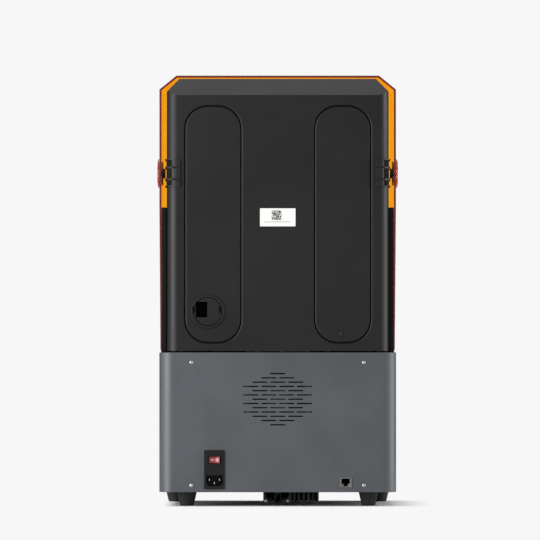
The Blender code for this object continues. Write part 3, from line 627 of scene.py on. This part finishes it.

# ---------------------------------------------------------------- panels beside and before the column
# Flat black panels: the front cover of the column and a wing at each side that fills the slant
# behind the hood. Sawn from textured sheet and screwed on from inside.

# Textured sheet: a flat black with an even pressed grain. The wings get a darker, duller copy of it,
# painted shade for the dark gap between the shell and the hood.
black_sheet = grained(
    "textured_black_sheet", "#151515", "#1c1c1c", 1.1, 50, (0.5, 0.65), specular=0.3, relief=0.04
)
shaded_wing_sheet = grained(
    "dull_black_sheet", "#050505", "#090909", 1.1, 50, (0.6, 0.75), specular=0.12, relief=0.04
)
broken_edges("back_panel", black_sheet, 0.4)
WING_LIP = 2.3
for side in ("left", "right"):
    wing = broken_edges(f"side_panel_{side}", shaded_wing_sheet, 0.8)
    # A lip over each wing's outer face, WING_LIP thick, closes the gap to the hood.
    places = places_of(wing)
    mid_thickness = (np.abs(places[0]).min() + np.abs(places[0]).max()) / 2
    places[0] += np.where(np.abs(places[0]) > mid_thickness, np.sign(places[0]) * WING_LIP, 0)
    wing.data.vertices.foreach_set("co", (places.T * MM).astype(np.float32).ravel())

# ---------------------------------------------------------------- port cover, plug and sticker
# The round bayonet cover turns in a hole of the rear shell; it has two finger pads and a square
# cable hole. The plug closes a small hole. The sticker is printed paper under a clear film.


def rear_face_piece(name, node, profile, sides=96):
    """A turned piece seated on the rear face at its CAD node's centre."""
    middle, half = middle_of(node)
    return mesh_object(name, [turned(profile, (middle.x, middle.y - half.y, middle.z), (0, 1, 0), sides)])


port_low, port_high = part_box("rear_port_cover")
rim = (port_high.y - port_low.y) / MM - 2.0
outline = [
    (0, rim + 1.3), (19.3, rim + 1.3), (19.6, rim - 0.9), (20.2, rim - 0.9), (20.5, rim + 1.4),
    (23.1, rim + 1.4), (24, rim + 0.4), (24, rim - 0.2), (20.6, rim - 0.2), (20.6, 0), (0, 0),
]
cover = rear_face_piece("bayonet_cover", "rear_port_cover", eased(outline, 0.25, 3, closed=False))
HOLE_X, HOLE_Z = (99.3, 115.3), (265.8, 287.9)
HOLE_DEEP, PAD_DEEP, PAD_PLACES = 5.6, 1.9, (117.9, 81.0)
hole_half = [(high - low) / 2 * MM for low, high in (HOLE_X, HOLE_Z)]
hole = centred(rounded_rectangle(*hole_half, 0.6 * MM, 3), sum(HOLE_X) / 2 * MM, sum(HOLE_Z) / 2 * MM)
pad = rounded_rectangle(2.0 * MM, 4.6 * MM, 0.8 * MM, 3)
pads = [centred(pad, x * MM, sum(HOLE_Z) / 2 * MM) for x in PAD_PLACES]
face = port_high.y
cover_cutters = (
    through_rear([hole], face - HOLE_DEEP * MM, face + 3 * MM),
    through_rear(pads, face - PAD_DEEP * MM, face + 3 * MM),
)
finish_piece(cover, ["rear_port_cover"], moulded_abs, cutters=cover_cutters, edge=0.2)
# Painted shade: all of the cover more than 1.2 mm below its face, in the cable hole, the finger pads and the
# shell's hole, is painted black, fully by 1.7 mm.
mark_painted_shade_and_insert(cover, (face / MM - places_of(cover)[1] - 1.2) / 0.5)

# Foam: dead black, with open cells about a millimetre wide, for the hood's gasket. The same dead
# black on a plate behind the cable hole is painted shade: it stands for the shade at the hole's bottom.
black_foam_and_shade = grained(
    "black_polyether_foam", "#010101", "#030303", 0.9, 8, (0.95, 1.0), specular=0.0, relief=0.3
)
# Painted shade: a dead black plate at the bottom of the cable hole.
shade_pad = through_rear([hole], face - 5.5 * MM, face - 4.4 * MM)
shade_pad.name = "cable_hole_dust_pad"
small_extra(shade_pad, black_foam_and_shade, "rear_port_cover")

outline = [(0, 6.4), (2.6, 6.3), (4, 5.3), (4, 5.0), (2.4, 5.0), (2.4, 0), (0, 0)]
plug = rear_face_piece("hole_plug", "cable_plug", eased(outline, 0.2, 3, closed=False), 40)
finish_piece(plug, ["cable_plug"], moulded_abs)

label_low, label_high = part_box("id_label")
label_half = (label_high - label_low) / 2
label_middle = (label_high + label_low) / 2
label_plan = rounded_rectangle(label_half.x, label_half.z, 0.8 * MM, 5)
label_ends = [
    np.insert(centred(label_plan, label_middle.x, label_middle.z), 1, y, axis=1)
    for y in (label_low.y, label_high.y)
]
label = mesh_object("printed_sticker", [capped(np.stack(label_ends))])
# Coated paper with a printed square of random grey cells, which means nothing, and a grey rule.
sticker = bpy.data.materials.new("printed_paper")
sticker.use_nodes = True
tree = sticker.node_tree
tree.nodes.clear()
CELL, MARK_HALF = 0.75, 6.75
spot = add(tree, "ShaderNodeTexCoord").outputs["Object"]
mark_place = (1.7 * MM, 0, label_middle.z + 2.9 * MM)
local = add(
    tree, "ShaderNodeMapping", {"Location": [-value for value in mark_place]}, {"Vector": spot}
).outputs[0]
cells = add(tree, "ShaderNodeVectorMath", {1: (CELL * MM,) * 3}, {0: local}, operation="DIVIDE")
whole = add(tree, "ShaderNodeVectorMath", links={0: cells.outputs[0]}, operation="FLOOR")
axes = add(tree, "ShaderNodeSeparateXYZ", links={0: whole.outputs[0]})
flat = add(tree, "ShaderNodeCombineXYZ", links={0: axes.outputs[0], 1: axes.outputs[2]})
chance = add(tree, "ShaderNodeTexWhiteNoise", links={"Vector": flat.outputs[0]}, noise_dimensions="2D")
inked = add(tree, "ShaderNodeMath", {1: 0.36}, {0: chance.outputs["Value"]}, operation="GREATER_THAN")
place = add(tree, "ShaderNodeSeparateXYZ", links={0: local})


def within(tree, axis, low, high):
    """One where the coordinate lies between two values, else nought."""
    above = add(tree, "ShaderNodeMath", {1: low * MM}, {0: axis}, operation="GREATER_THAN")
    below = add(tree, "ShaderNodeMath", {1: high * MM}, {0: axis}, operation="LESS_THAN")
    return all_of(tree, above.outputs[0], below.outputs[0])


mark = all_of(
    tree,
    within(tree, place.outputs[0], -MARK_HALF, MARK_HALF),
    within(tree, place.outputs[2], -MARK_HALF, MARK_HALF),
)
rule_area = all_of(
    tree, within(tree, place.outputs[0], -18.5, 17.5), within(tree, place.outputs[2], -9.9, -8.7)
)
rule = add(tree, "ShaderNodeMath", {1: 0.45}, {0: rule_area}, operation="MULTIPLY").outputs[0]
marked = all_of(tree, mark, inked.outputs[0])
ink = add(tree, "ShaderNodeMath", links={0: marked, 1: rule}, operation="MAXIMUM")
fibre = add(tree, "ShaderNodeTexNoise", {"Scale": 1 / (0.8 * MM), "Detail": 4.0}, {"Vector": spot})
whites = {6: linear("#bebebc"), 7: linear("#cacac8")}
white = add(tree, "ShaderNodeMix", whites, {0: fibre.outputs[0]}, data_type="RGBA")
black_ink = {7: linear("#161616")}
printed = add(
    tree, "ShaderNodeMix", black_ink, {0: ink.outputs[0], 6: white.outputs[2]}, data_type="RGBA"
)
bump = add(tree, "ShaderNodeBump", {"Distance": 0.01 * MM}, {"Height": fibre.outputs[0]})
shader = add(
    tree,
    "ShaderNodeBsdfPrincipled",
    {"Roughness": 0.45},
    {"Base Color": printed.outputs[2], "Normal": bump.outputs[0]},
)
add(tree, "ShaderNodeOutputMaterial", links={"Surface": shader.outputs[0]})
finish_piece(label, ["id_label"], sticker, edge=0.05)

# ---------------------------------------------------------------- hood
# A cover of 3 mm cast acrylic in fluorescent amber, folded and bonded, with cut upper corners. It
# stops ultraviolet light. Its sides end behind in an upright and then a slanting edge.

hood_low, hood_high = (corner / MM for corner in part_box("hood_shell"))
HOOD_CORNER, HOOD_WALL = 20.0, 3.0
HOOD_RUN, HOOD_DROP = 24.0, 19.5
SLANT = ((15.0, 219.0), (93.0, 422.0))
turn = np.linspace(0, math.pi / 2, 17)
round_start = hood_low.y + HOOD_CORNER
straight = np.linspace(hood_low.y + HOOD_RUN, SLANT[0][0], 8)
slanted = np.linspace(SLANT[0][0], hood_high.y, 8)
along = np.concatenate([round_start - HOOD_CORNER * np.sin(turn[::-1]), straight, slanted[1:]])
half = hood_high.x - HOOD_CORNER + np.sqrt(
    np.maximum(HOOD_CORNER**2 - np.maximum(round_start - along, 0) ** 2, 0)
)
roof = np.minimum(hood_high.z - HOOD_DROP + (along - hood_low.y) * HOOD_DROP / HOOD_RUN, hood_high.z)
rise = (SLANT[1][1] - SLANT[0][1]) / (SLANT[1][0] - SLANT[0][0])
foot = hood_low.z + np.maximum(along - SLANT[0][0], 0) * rise
HOOD_CUT = (hood_high.x - HOOD_RUN, hood_high.z, HOOD_RUN, HOOD_DROP)
outer = cover_surface(along, half, roof, foot, wall_rows, columns, HOOD_CUT)
front_wall = end_wall(half[0], along[0], foot[0], roof[0], wall_rows, columns)
hood = mesh_object("acrylic_hood", [(outer[0] * MM, outer[1]), front_wall])
hinge = next(joint for joint in frame["joints"] if joint["name"] == "hood_hinge")["pos_m"]
BORE_RADIUS, BORE_HALF = 4.3, 200.0
profile = [(0, BORE_HALF), (BORE_RADIUS, BORE_HALF), (BORE_RADIUS, -BORE_HALF), (0, -BORE_HALF)]
bore = mesh_object("cutter", [turned(profile, (0, hinge[1], hinge[2]), (1, 0, 0), 48)])


def cast_acrylic(name, surface, body, density, painted_glow):
    """Dyed clear plastic: its depth filters the light that crosses it, so its edges are darkest.

    Density times one less the body's colour is how strongly each metre of it absorbs. A faint painted
    glow of the last colour, the same all over, stands in for the light a fluorescent dye gives back.
    """
    material = bpy.data.materials.new(name)
    material.use_nodes = True
    nodes = material.node_tree
    nodes.nodes.clear()
    spot = add(nodes, "ShaderNodeTexCoord").outputs["Object"]
    cloudy, wavy = {"Scale": 1 / (25 * MM), "Detail": 4.0}, {"Scale": 1 / (90 * MM), "Detail": 1.0}
    haze = add(nodes, "ShaderNodeTexNoise", cloudy, {"Vector": spot}).outputs[0]
    ripple = add(nodes, "ShaderNodeTexNoise", wavy, {"Vector": spot}).outputs[0]
    rough = add(nodes, "ShaderNodeMapRange", {"To Min": 0.0, "To Max": 0.05}, {"Value": haze})
    tints = {6: linear(surface), 7: linear("#ffffff")}
    tone = add(nodes, "ShaderNodeMix", tints, {0: haze}, data_type="RGBA")
    bump = add(
        nodes, "ShaderNodeBump", {"Distance": 0.03 * MM, "Strength": 0.3}, {"Height": ripple}
    )
    shader = add(
        nodes,
        "ShaderNodeBsdfPrincipled",
        {
            "Transmission Weight": 1.0,
            "IOR": 1.49,
            "Emission Color": painted_glow,
            "Emission Strength": 0.03,
        },
        {
            "Base Color": tone.outputs[2],
            "Roughness": rough.outputs["Result"],
            "Normal": bump.outputs[0],
        },
    )
    depth = add(nodes, "ShaderNodeVolumeAbsorption", {"Color": body, "Density": density})
    surfaces = {"Surface": shader.outputs[0], "Volume": depth.outputs[0]}
    add(nodes, "ShaderNodeOutputMaterial", links=surfaces)
    return material


# Cast amber: it lets red and some green through and takes all blue; a faint painted glow of orange
# light lies over all of it.
amber = cast_acrylic(
    "cast_amber_acrylic", "#fff6e4", (0.998, 0.825, 0.0, 1.0), 1250, (1.0, 0.04, 0.0, 1.0)
)
finish_piece(hood, ["hood_shell"], amber, wall=HOOD_WALL, cutters=(bore,), edge=0.5, crease=30)

# The hood closes on a strip of black foam glued to the deck along its front and its sides.
GASKET_WIDE, GASKET_EDGE = 4.6, hood_high.x - 0.8
gasket_front, gasket_end = hood_low.y + 0.8, SLANT[0][0] - 1.0
outline = []
for inset in (0.0, GASKET_WIDE):
    x, y = GASKET_EDGE - inset, gasket_front + inset
    path = [(x, gasket_end), (x, y), (-x, y), (-x, gasket_end)]
    outline.append(eased(path, HOOD_CORNER - 0.8 - inset, 8, closed=False))
plan = np.concatenate([outline[0], outline[1][::-1]]) * MM
gasket_ends = (wall_top + 0.05 * MM, (hood_low.z - 0.3) * MM)
gasket_loops = np.stack([np.insert(plan, 2, z, axis=1) for z in gasket_ends])
small_extra(mesh_object("foam_gasket", [capped(gasket_loops)]), black_foam_and_shade, "top_deck")

# ---------------------------------------------------------------- hinges
# On each side a black bracket wraps the rear corner of the shell and carries a barrel with its pin;
# a thin plate clamps the hood from inside and a domed amber cap hides the pin's head outside.

# Hard-anodised aluminium: almost black, satin, with a faint mill grain; edges rub through to grey.
black_anodised = grained(
    "black_anodised_aluminium", "#0b0b0c", "#121213", 0.8, 20, (0.3, 0.42), specular=0.45,
    relief=0.01, worn="#45464a",
)
# Cast acrylic in a thinner, browner dye: a clear dome that shows the pin's end as a brown blur, with
# a faint painted glow of orange light over it.
brown_acrylic = cast_acrylic(
    "cast_brown_acrylic", "#ffe8c8", (0.95, 0.76, 0.3, 1.0), 400, (1.0, 0.3, 0.02, 1.0)
)
# Glass-filled nylon: black and matt, with a moulded grain. Its grooves, pockets and hidden faces
# are painted black as shade.
filled_nylon = grained(
    "glass_filled_nylon_bracket", "#080808", "#0e0e0e", 0.8, 15, (0.45, 0.55), specular=0.25,
    sunk=True,
)
BRACKET_RIBS, BRACKET_WALL = (477.0, 460.3), 2.2
PIN_PROFILE = [(4, 2.9), (7, 2.9), (7, 0), (0, 0)]
PLATE_RING = eased([(4.3, 0), (4.3, 1.5), (17, 1.5), (17, 0)], 0.3, 3)
CAP_PROFILE = eased(
    [
        (0, 2.9), (17.0, 2.9), (19.8, 2.2), (20.75, 0.9), (20.75, 0), (4.3, 0), (4.3, 1.8), (0, 1.8),
    ],
    0.5, 5, closed=False,
)


def on_hinge_axis(node, sign):
    """The point of the hinge's axis at a node's inner end, and the node's length in millimetres."""
    low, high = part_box(node)
    return (low.x if sign > 0 else high.x, hinge[1], hinge[2]), (high.x - low.x) / MM


for side, sign in (("left", -1), ("right", 1)):
    outward = (sign, 0, 0)
    low, high = (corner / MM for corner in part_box(f"hinge_bracket_{side}"))
    # Seen from above, its path runs along the shell's side, round the rear corner and to the rear.
    reach = SHELL_CORNER + 0.3 + BRACKET_WALL
    wrap = np.linspace(0, math.pi / 2, 25)
    corner_x, corner_y = shell_high.x - SHELL_CORNER, shell_high.y - SHELL_CORNER
    inner_end = min(abs(low.x), abs(high.x))
    path_out = np.concatenate([[(1, 0)], np.stack([np.cos(wrap), np.sin(wrap)], -1), [(0, 1)]])
    path_at = np.array(
        [(corner_x, low.y), *[(corner_x, corner_y)] * len(wrap), (inner_end, corner_y)]
    )
    angle = np.arctan2(path_out[:, 1], path_out[:, 0])[None]
    z = np.linspace(low.z, high.z, round((high.z - low.z) / 0.5) + 1)[:, None]
    # Depth below its face: a narrow groove at each rib's height, and three open pockets at its side.
    from_rib = np.min([np.abs(z - rib) for rib in BRACKET_RIBS], axis=0)
    groove = 0.9 * np.clip(1.6 - from_rib, 0, 1)
    side_part = np.clip((math.radians(61) - angle) / math.radians(5), 0, 1)
    from_end = np.minimum(z - low.z, high.z - z)
    between = np.clip((from_rib - 1.3) / 0.5, 0, 1) * np.clip((from_end - 1.5) / 0.5, 0, 1)
    depth = groove * (1 - side_part) + 1.9 * between * side_part
    front = path_at[None] + path_out[None] * (reach - depth)[..., None]
    back = np.broadcast_to(path_at + path_out * (reach - BRACKET_WALL), front.shape)[[-1, 0]]
    levels = np.concatenate([z[:, 0], [high.z, low.z]])
    plan = np.concatenate([front, back])
    heights = np.broadcast_to(levels[:, None, None], (*plan.shape[:2], 1))
    grid = np.concatenate([plan, heights], axis=-1) * (sign, 1, 1) * MM
    count, size = grid.shape[:2]
    faces = grid_quads(count, size, wrap_rows=True)
    ends = [[row * size + end for row in range(count)] for end in (0, size - 1)]
    bracket = mesh_object(f"wrap_bracket_{side}", [(grid, faces + ends)])
    finish_piece(bracket, [f"hinge_bracket_{side}"], filled_nylon)
    # Painted shade: points more than 0.5 mm inside the bracket's outer face, in its grooves and pockets, are
    # painted black, fully by 1.3 mm.
    x, y, _ = places_of(bracket)
    from_axis = np.hypot(np.abs(x) - corner_x, np.maximum(y - corner_y, 0))
    mark_painted_shade_and_insert(bracket, (reach - from_axis - 0.5) / 0.8)
    inner, shaft = on_hinge_axis(f"hinge_pin_{side}", sign)
    profile = eased([(0, shaft), (4, shaft), *PIN_PROFILE], 0.25, 3, closed=False)
    pin = mesh_object(f"barrel_and_pin_{side}", [turned(profile, inner, outward)])
    finish_piece(pin, [f"hinge_pin_{side}"], black_anodised)
    inner, _ = on_hinge_axis(f"hinge_plate_{side}", sign)
    points, _ = turned(PLATE_RING, inner, outward)
    faces = grid_quads(*points.shape[:2], wrap_rows=True, wrap_columns=True)
    plate = mesh_object(f"clamp_plate_{side}", [(points, faces)])
    finish_piece(plate, [f"hinge_plate_{side}"], black_anodised)
    inner, _ = on_hinge_axis(f"hinge_cap_{side}", sign)
    cap = mesh_object(f"domed_cap_{side}", [turned(CAP_PROFILE, inner, outward, 96)])
    finish_piece(cap, [f"hinge_cap_{side}"], brown_acrylic)

# ---------------------------------------------------------------- lift
# An extruded, clear-anodised column carries two ground steel rails and a rolled lead screw. The
# carriage runs on two recirculating blocks and holds the platform's arm.

# Clear anodising: pale grey metal with fine extrusion lines along its length.
clear_anodised = grained(
    "clear_anodised_aluminium", "#9a9ca0", "#b4b6b9", 0.6, 30, (0.3, 0.42), metallic=1.0,
    relief=0.01, stretch=(6, 6, 0.4),
)
# Ground steel: darker and sharper in its shine, with faint grinding lines.
ground_steel = grained(
    "ground_steel", "#84878b", "#a9acb0", 0.5, 20, (0.18, 0.3), metallic=1.0,
    relief=0.008, stretch=(5, 5, 0.3),
)
broken_edges("z_column", clear_anodised, 0.5)
broken_edges("carriage_plate", clear_anodised, 0.7)
for side in ("left", "right"):
    broken_edges(f"linear_rail_{side}", ground_steel, 0.6)
    broken_edges(f"carriage_block_{side}", ground_steel, 0.7)
broken_edges("screw_top_bearing", black_anodised, 0.5)
broken_edges("z_motor", black_anodised, 0.5)

screw_middle, screw_half = middle_of("lead_screw")
COUPLING_TOP, LEAD, ROUND_SIDES, LEVELS = 243.0, 4.0, 24, 1040
level = np.linspace(COUPLING_TOP, (screw_middle.z + screw_half.z) / MM, LEVELS)[:, None]
angle = np.linspace(0, math.tau, ROUND_SIDES, endpoint=False)[None]
# A trapezoid thread: the radius follows a clipped sine of height over lead less the turn.
wave = np.clip(1.6 * np.sin(math.tau * level / LEAD - angle), -1, 1)
radius = 3.6 + 0.38 * wave
thread = np.stack(
    [radius * np.cos(angle), radius * np.sin(angle), np.broadcast_to(level, radius.shape)], axis=-1
)
thread_points, thread_faces = capped(thread)
thread_points = thread_points * MM + np.array([screw_middle.x, screw_middle.y, 0])
profile = eased(
    [
        (0, 26), (9.5, 26), (9.5, 16), (8.9, 15.5), (8.9, 10.5),
        (9.5, 10), (9.5, 0), (2.8, 0), (2.8, 12), (0, 12),
    ],
    0.3, 3, closed=False,
)
screw_foot = (screw_middle.x, screw_middle.y, screw_middle.z - screw_half.z)
coupling = turned(profile, screw_foot, sides=48)
lead_screw = mesh_object("rolled_lead_screw", [(thread_points, thread_faces), coupling])
finish_piece(lead_screw, ["lead_screw"], ground_steel)

# ---------------------------------------------------------------- build platform and arm
# The platform is a blasted aluminium slab that hangs from a black arm. One large knob clamps it.

# Blasted aluminium: light grey, with an even fine roughness and no direction.
blasted = grained(
    "blasted_aluminium", "#8d8f92", "#a2a4a7", 0.9, 40, (0.42, 0.55), metallic=1.0, relief=0.03
)
broken_edges("build_platform", blasted, 0.8, steps=3)
broken_edges("platform_mount", blasted, 0.8)
broken_edges("support_arm", black_anodised, 1.2, steps=3)


def scalloped(profile, centre, lobes, depth, from_height):
    """A turned knob whose radius dips at each lobe above a height.

    The radius loses the depth times the sixth power of the cosine of half the lobes' angle.
    """
    points, faces = turned(profile, (0, 0, 0), sides=144)
    angle = np.arctan2(points[..., 1], points[..., 0])
    dip = np.abs(np.cos(angle * lobes / 2)) ** 6 * depth * MM
    radius = np.hypot(points[..., 0], points[..., 1])
    gripped = (points[..., 2] > from_height * MM) & (radius > radius.max() * 0.6)
    scale = np.where(gripped, 1 - dip / np.maximum(radius, 1e-9), 1)
    points[..., 0] *= scale
    points[..., 1] *= scale
    return points + np.array(centre), faces


# Moulded nylon: dark, a little waxy, with a fine mould grain that gives the fingers hold.
knob_plastic = grained(
    "moulded_nylon", "#161616", "#202020", 0.9, 15, (0.4, 0.55), specular=0.4, relief=0.03
)
middle, half = middle_of("platform_knob")
profile = eased(
    [
        (0, 56), (11.5, 56), (14.5, 54.6), (16, 52), (16, 38),
        (8, 35), (8, 34.3), (4, 34.3), (4, 0), (0, 0),
    ],
    0.8, 4, closed=False,
)
seat = (middle.x, middle.y, middle.z - half.z)
knob = mesh_object("clamp_knob", [scalloped(profile, seat, 8, 2.2, 36)])
finish_piece(knob, ["platform_knob"], knob_plastic)

# ---------------------------------------------------------------- vat
# The vat is milled from aluminium and closed below by a clear release film. Two thumb screws with
# ribbed heads hold its ears to the deck.

broken_edges("resin_vat", clear_anodised, 0.8, steps=3)
profile = eased(
    [(0, 21.8), (5.4, 21.8), (7, 20.4), (7, 9), (5, 7.3), (5, 5.1), (3, 5.1), (3, 0), (0, 0)],
    0.4, 4, closed=False,
)
for side in ("left", "right"):
    middle, half = middle_of(f"vat_knob_{side}")
    seat = (middle.x, middle.y, middle.z - half.z)
    thumb = mesh_object(f"thumb_screw_{side}", [scalloped(profile, seat, 18, 0.5, 8.5)])
    finish_piece(thumb, [f"vat_knob_{side}"], knob_plastic)
# Fluoropolymer film: clear, almost without colour, and without any glow.
film = cast_acrylic(
    "fluoropolymer_film", "#f8f8f4", (0.9, 0.9, 0.88, 1.0), 60, (0.0, 0.0, 0.0, 1.0)
)
broken_edges("release_film", film, 0.05)

# ---------------------------------------------------------------- exposure unit
# Under the deck a grid of ultraviolet lamps shines up through a black funnel to the screen. A black
# finned block below it, which reaches under the base, and a 40 mm fan carry the heat away.

# Cover glass over a dark screen: near black and flat, with a clear reflection.
screen_glass = grained(
    "black_cover_glass", "#050506", "#09090b", 5, 60, (0.04, 0.09), specular=0.6, relief=0.001
)
# Solder mask: dark green lacquer that stands a little unevenly over the copper.
solder_mask = grained("green_solder_mask", "#0c3a20", "#14502d", 1.5, 25, (0.3, 0.45))
# Glass-filled nylon: a greyer black than the covers, with a coarse flow grain.
fan_plastic = grained(
    "glass_filled_nylon", "#121212", "#1a1a1a", 0.8, 15, (0.45, 0.6), specular=0.35, relief=0.03
)
broken_edges("lcd_panel", screen_glass, 0.25)
broken_edges("light_housing", black_sheet, 0.3)
broken_edges("led_board", solder_mask, 0.15)
broken_edges("uv_heatsink", black_anodised, 0.3)


def blade_loops(root, tip, start, deep, turn_from, swept, middle):
    """A fan blade: at each radius a thin lens-shaped section that climbs the depth as it turns."""
    reach = np.linspace(0, 1, 9)[:, None]
    chord = np.concatenate([np.linspace(0, 1, 13), np.linspace(1, 0, 13)[1:-1]])[None]
    face = np.concatenate([np.ones(13), -np.ones(11)])[None]
    radius = root + (tip - root) * reach
    angle = turn_from + swept * (chord - 0.5) * (1 - 0.25 * reach) + 0.25 * reach
    thick = 0.8 * np.sin(np.pi * np.clip(chord, 0.02, 0.98)) ** 0.5
    depth = start + deep * (0.08 + 0.84 * chord) + face * thick
    x, z = radius * np.cos(angle), radius * np.sin(angle)
    return np.stack([x, np.broadcast_to(depth, x.shape), z], axis=-1) * MM + np.array(middle)


def fan_rotor(node, name, bore):
    """A cup-shaped hub with seven swept blades, on the axis of its joint."""
    low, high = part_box(node)
    deep = (high.y - low.y) / MM
    axis = next(j for j in frame["joints"] if j["child"] == body_of[node])["pos_m"]
    middle = (axis[0], low.y, axis[2])
    hub = bore * 0.4
    cup = [(0, deep), (hub - 1, deep), (hub, deep - 1.2), (hub, 0), (0, 0)]
    parts = [turned(eased(cup, 0.6, 4, closed=False), middle, (0, 1, 0), 64)]
    for start in np.arange(7) * math.tau / 7:
        parts.append(
            capped(blade_loops(hub - 0.6, bore - 1.6, 0.6, deep - 1.2, start, 0.62, middle))
        )
    return finish_piece(mesh_object(name, parts), [node], fan_plastic)


broken_edges("light_fan_frame", fan_plastic, 0.4)
broken_edges("rear_fan_frame", fan_plastic, 0.6)
fan_rotor("light_fan_rotor", "light_fan_blades", 18.5)

# Two screw heads hold the fan below the base's edge, and a folded lip guides its air to the fins.
FAN_SCREW_X, FAN_SCREW_Z = (16.5, -14.4), 6.0
_, fan_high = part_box("light_fan_frame")
profile = eased([(0, 1.3), (1.4, 1.2), (2.4, 0.5), (2.4, 0), (0, 0)], 0.2, 2, closed=False)
heads = [
    turned(profile, (x * MM, fan_high.y, FAN_SCREW_Z * MM), (0, 1, 0), 24) for x in FAN_SCREW_X
]
fan_screws = mesh_object("light_fan_screws", heads)
small_extra(fan_screws, zinc_plate, "light_fan_frame")
LIP_HALF, LIP_X, LIP_Z = (39.4, 1.2), -19.5, (1.2, 12.5)
sink_low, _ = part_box("uv_heatsink")
lip_plan = rounded_rectangle(LIP_HALF[0] * MM, LIP_HALF[1] * MM, 0.5 * MM, 3)
lip_plan = centred(lip_plan, LIP_X * MM, sink_low.y + 1.6 * MM)
lip_loops = np.stack([np.insert(lip_plan, 2, z * MM, axis=1) for z in LIP_Z])
lip = mesh_object("air_guide_lip", [capped(lip_loops)])
small_extra(lip, black_sheet, "uv_heatsink")
fan_rotor("rear_fan_rotor", "rear_fan_blades", 43.5)

# ---------------------------------------------------------------- electrics in the base
# The main board stands on posts at the left, the power supply in its pressed steel case at the right.

# Nickel plating on pressed steel: a warm pale grey with a soft shine.
pressed_steel = grained(
    "nickel_plated_steel", "#a8a8a4", "#c2c2be", 0.7, 12, (0.25, 0.38), metallic=1.0, relief=0.01
)
broken_edges("main_board", solder_mask, 0.15)
broken_edges("power_supply", pressed_steel, 0.6)

# ---------------------------------------------------------------- mains inlet and switch
# A black moulded inlet with three plated pins and a fuse drawer; above it a glossy red rocker.

# Moulded nylon: black and even, with a finer grain than the covers.
inlet_plastic = grained(
    "moulded_black_nylon", "#060606", "#0a0a0a", 0.8, 15, (0.4, 0.5), specular=0.2
)
broken_edges("power_inlet", inlet_plastic, 0.35)
inlet_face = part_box("power_inlet")[1].y / MM
PIN_HALF, PIN_PLACES = (0.95, 1.8), ((96.2, 37.4), (82.0, 37.4), (89.1, 32.6))
blade = rounded_rectangle(*PIN_HALF, 0.5, 3)
tip = rounded_rectangle(PIN_HALF[0] - 0.5, PIN_HALF[1] - 0.5, 0.2, 3)
PIN_STEPS = ((blade, 16.0), (blade, 3.2), (tip, 2.4))
pins = []
for x, z in PIN_PLACES:
    loops = [np.insert(centred(plan, x, z), 1, inlet_face - deep, axis=1) for plan, deep in PIN_STEPS]
    pins.append(capped(np.stack(loops) * MM))
# Tinned brass: bright and pale, with a smooth, slightly soft shine.
tinned_brass = grained(
    "tinned_brass", "#c8c6c0", "#e0ded8", 0.5, 6, (0.2, 0.32), metallic=1.0, relief=0.005
)
small_extra(mesh_object("inlet_pins", pins), tinned_brass, "power_inlet")

# Red translucent polycarbonate with a pad-printed bar and ring, the usual on and off marks.
red_rocker = bpy.data.materials.new("glossy_red_polycarbonate")
red_rocker.use_nodes = True
tree = red_rocker.node_tree
tree.nodes.clear()
spot = add(tree, "ShaderNodeTexCoord").outputs["Object"]
rocker_middle, _ = middle_of("power_rocker")


def from_mark(x):
    """The place measured from a mark's centre on the rocker, flattened along the view of its face."""
    offset = (-rocker_middle.x - x * MM, 0, -rocker_middle.z)
    shifted = add(tree, "ShaderNodeMapping", {"Location": offset}, {"Vector": spot}).outputs[0]
    return add(
        tree, "ShaderNodeVectorMath", {1: (1, 0, 1)}, {0: shifted}, operation="MULTIPLY"
    ).outputs[0]


bar_place = add(tree, "ShaderNodeSeparateXYZ", links={0: from_mark(3.3)})
bar = all_of(
    tree,
    within(tree, bar_place.outputs[0], -2.2, 2.2),
    within(tree, bar_place.outputs[2], -0.5, 0.5),
)
ring_place = add(tree, "ShaderNodeVectorMath", links={0: from_mark(-3.4)}, operation="LENGTH")
ring = within(tree, ring_place.outputs["Value"], 1.1, 2.0)
marks = add(tree, "ShaderNodeMath", links={0: bar, 1: ring}, operation="MAXIMUM").outputs[0]
fine = {"Scale": 1 / (3 * MM), "Detail": 3.0}
cloud = add(tree, "ShaderNodeTexNoise", fine, {"Vector": spot}).outputs[0]
reds = {6: linear("#6a2028"), 7: linear("#7c2a32")}
red = add(tree, "ShaderNodeMix", reds, {0: cloud}, data_type="RGBA").outputs[2]
pale = {7: linear("#d8a8ac")}
tone = add(tree, "ShaderNodeMix", pale, {0: marks, 6: red}, data_type="RGBA").outputs[2]
gloss = add(tree, "ShaderNodeMapRange", {"To Min": 0.2, "To Max": 0.32}, {"Value": cloud})
bump = add(tree, "ShaderNodeBump", {"Distance": 0.01 * MM}, {"Height": cloud}).outputs[0]
shader = add(
    tree,
    "ShaderNodeBsdfPrincipled",
    links={"Base Color": tone, "Roughness": gloss.outputs["Result"], "Normal": bump},
)
add(tree, "ShaderNodeOutputMaterial", links={"Surface": shader.outputs[0]})
broken_edges("power_rocker", red_rocker, 0.6, steps=4)

# ---------------------------------------------------------------- sockets
# Network and USB sockets are folded from thin nickel-plated steel round a black insert.

# The same plating in a darker tone; inside the shell there is only the black insert.
socket_steel = grained(
    "nickel_plated_steel_black_inside", "#626260", "#787876", 0.7, 12, (0.3, 0.42), metallic=1.0,
    relief=0.01, sunk=True,
)
jack = broken_edges("ethernet_jack", socket_steel, 0.25)
jack_depth = places_of(jack)[1]
mark_painted_shade_and_insert(jack, (jack_depth.max() - jack_depth - 0.8) / 0.4)
broken_edges("usb_port", pressed_steel, 0.2)

# ---------------------------------------------------------------- touch screen
# A sheet of black cover glass in a moulded bezel on the front of the base.

broken_edges("touch_screen_bezel", inlet_plastic, 0.8, steps=3)
broken_edges("touch_screen_glass", screen_glass, 0.4)
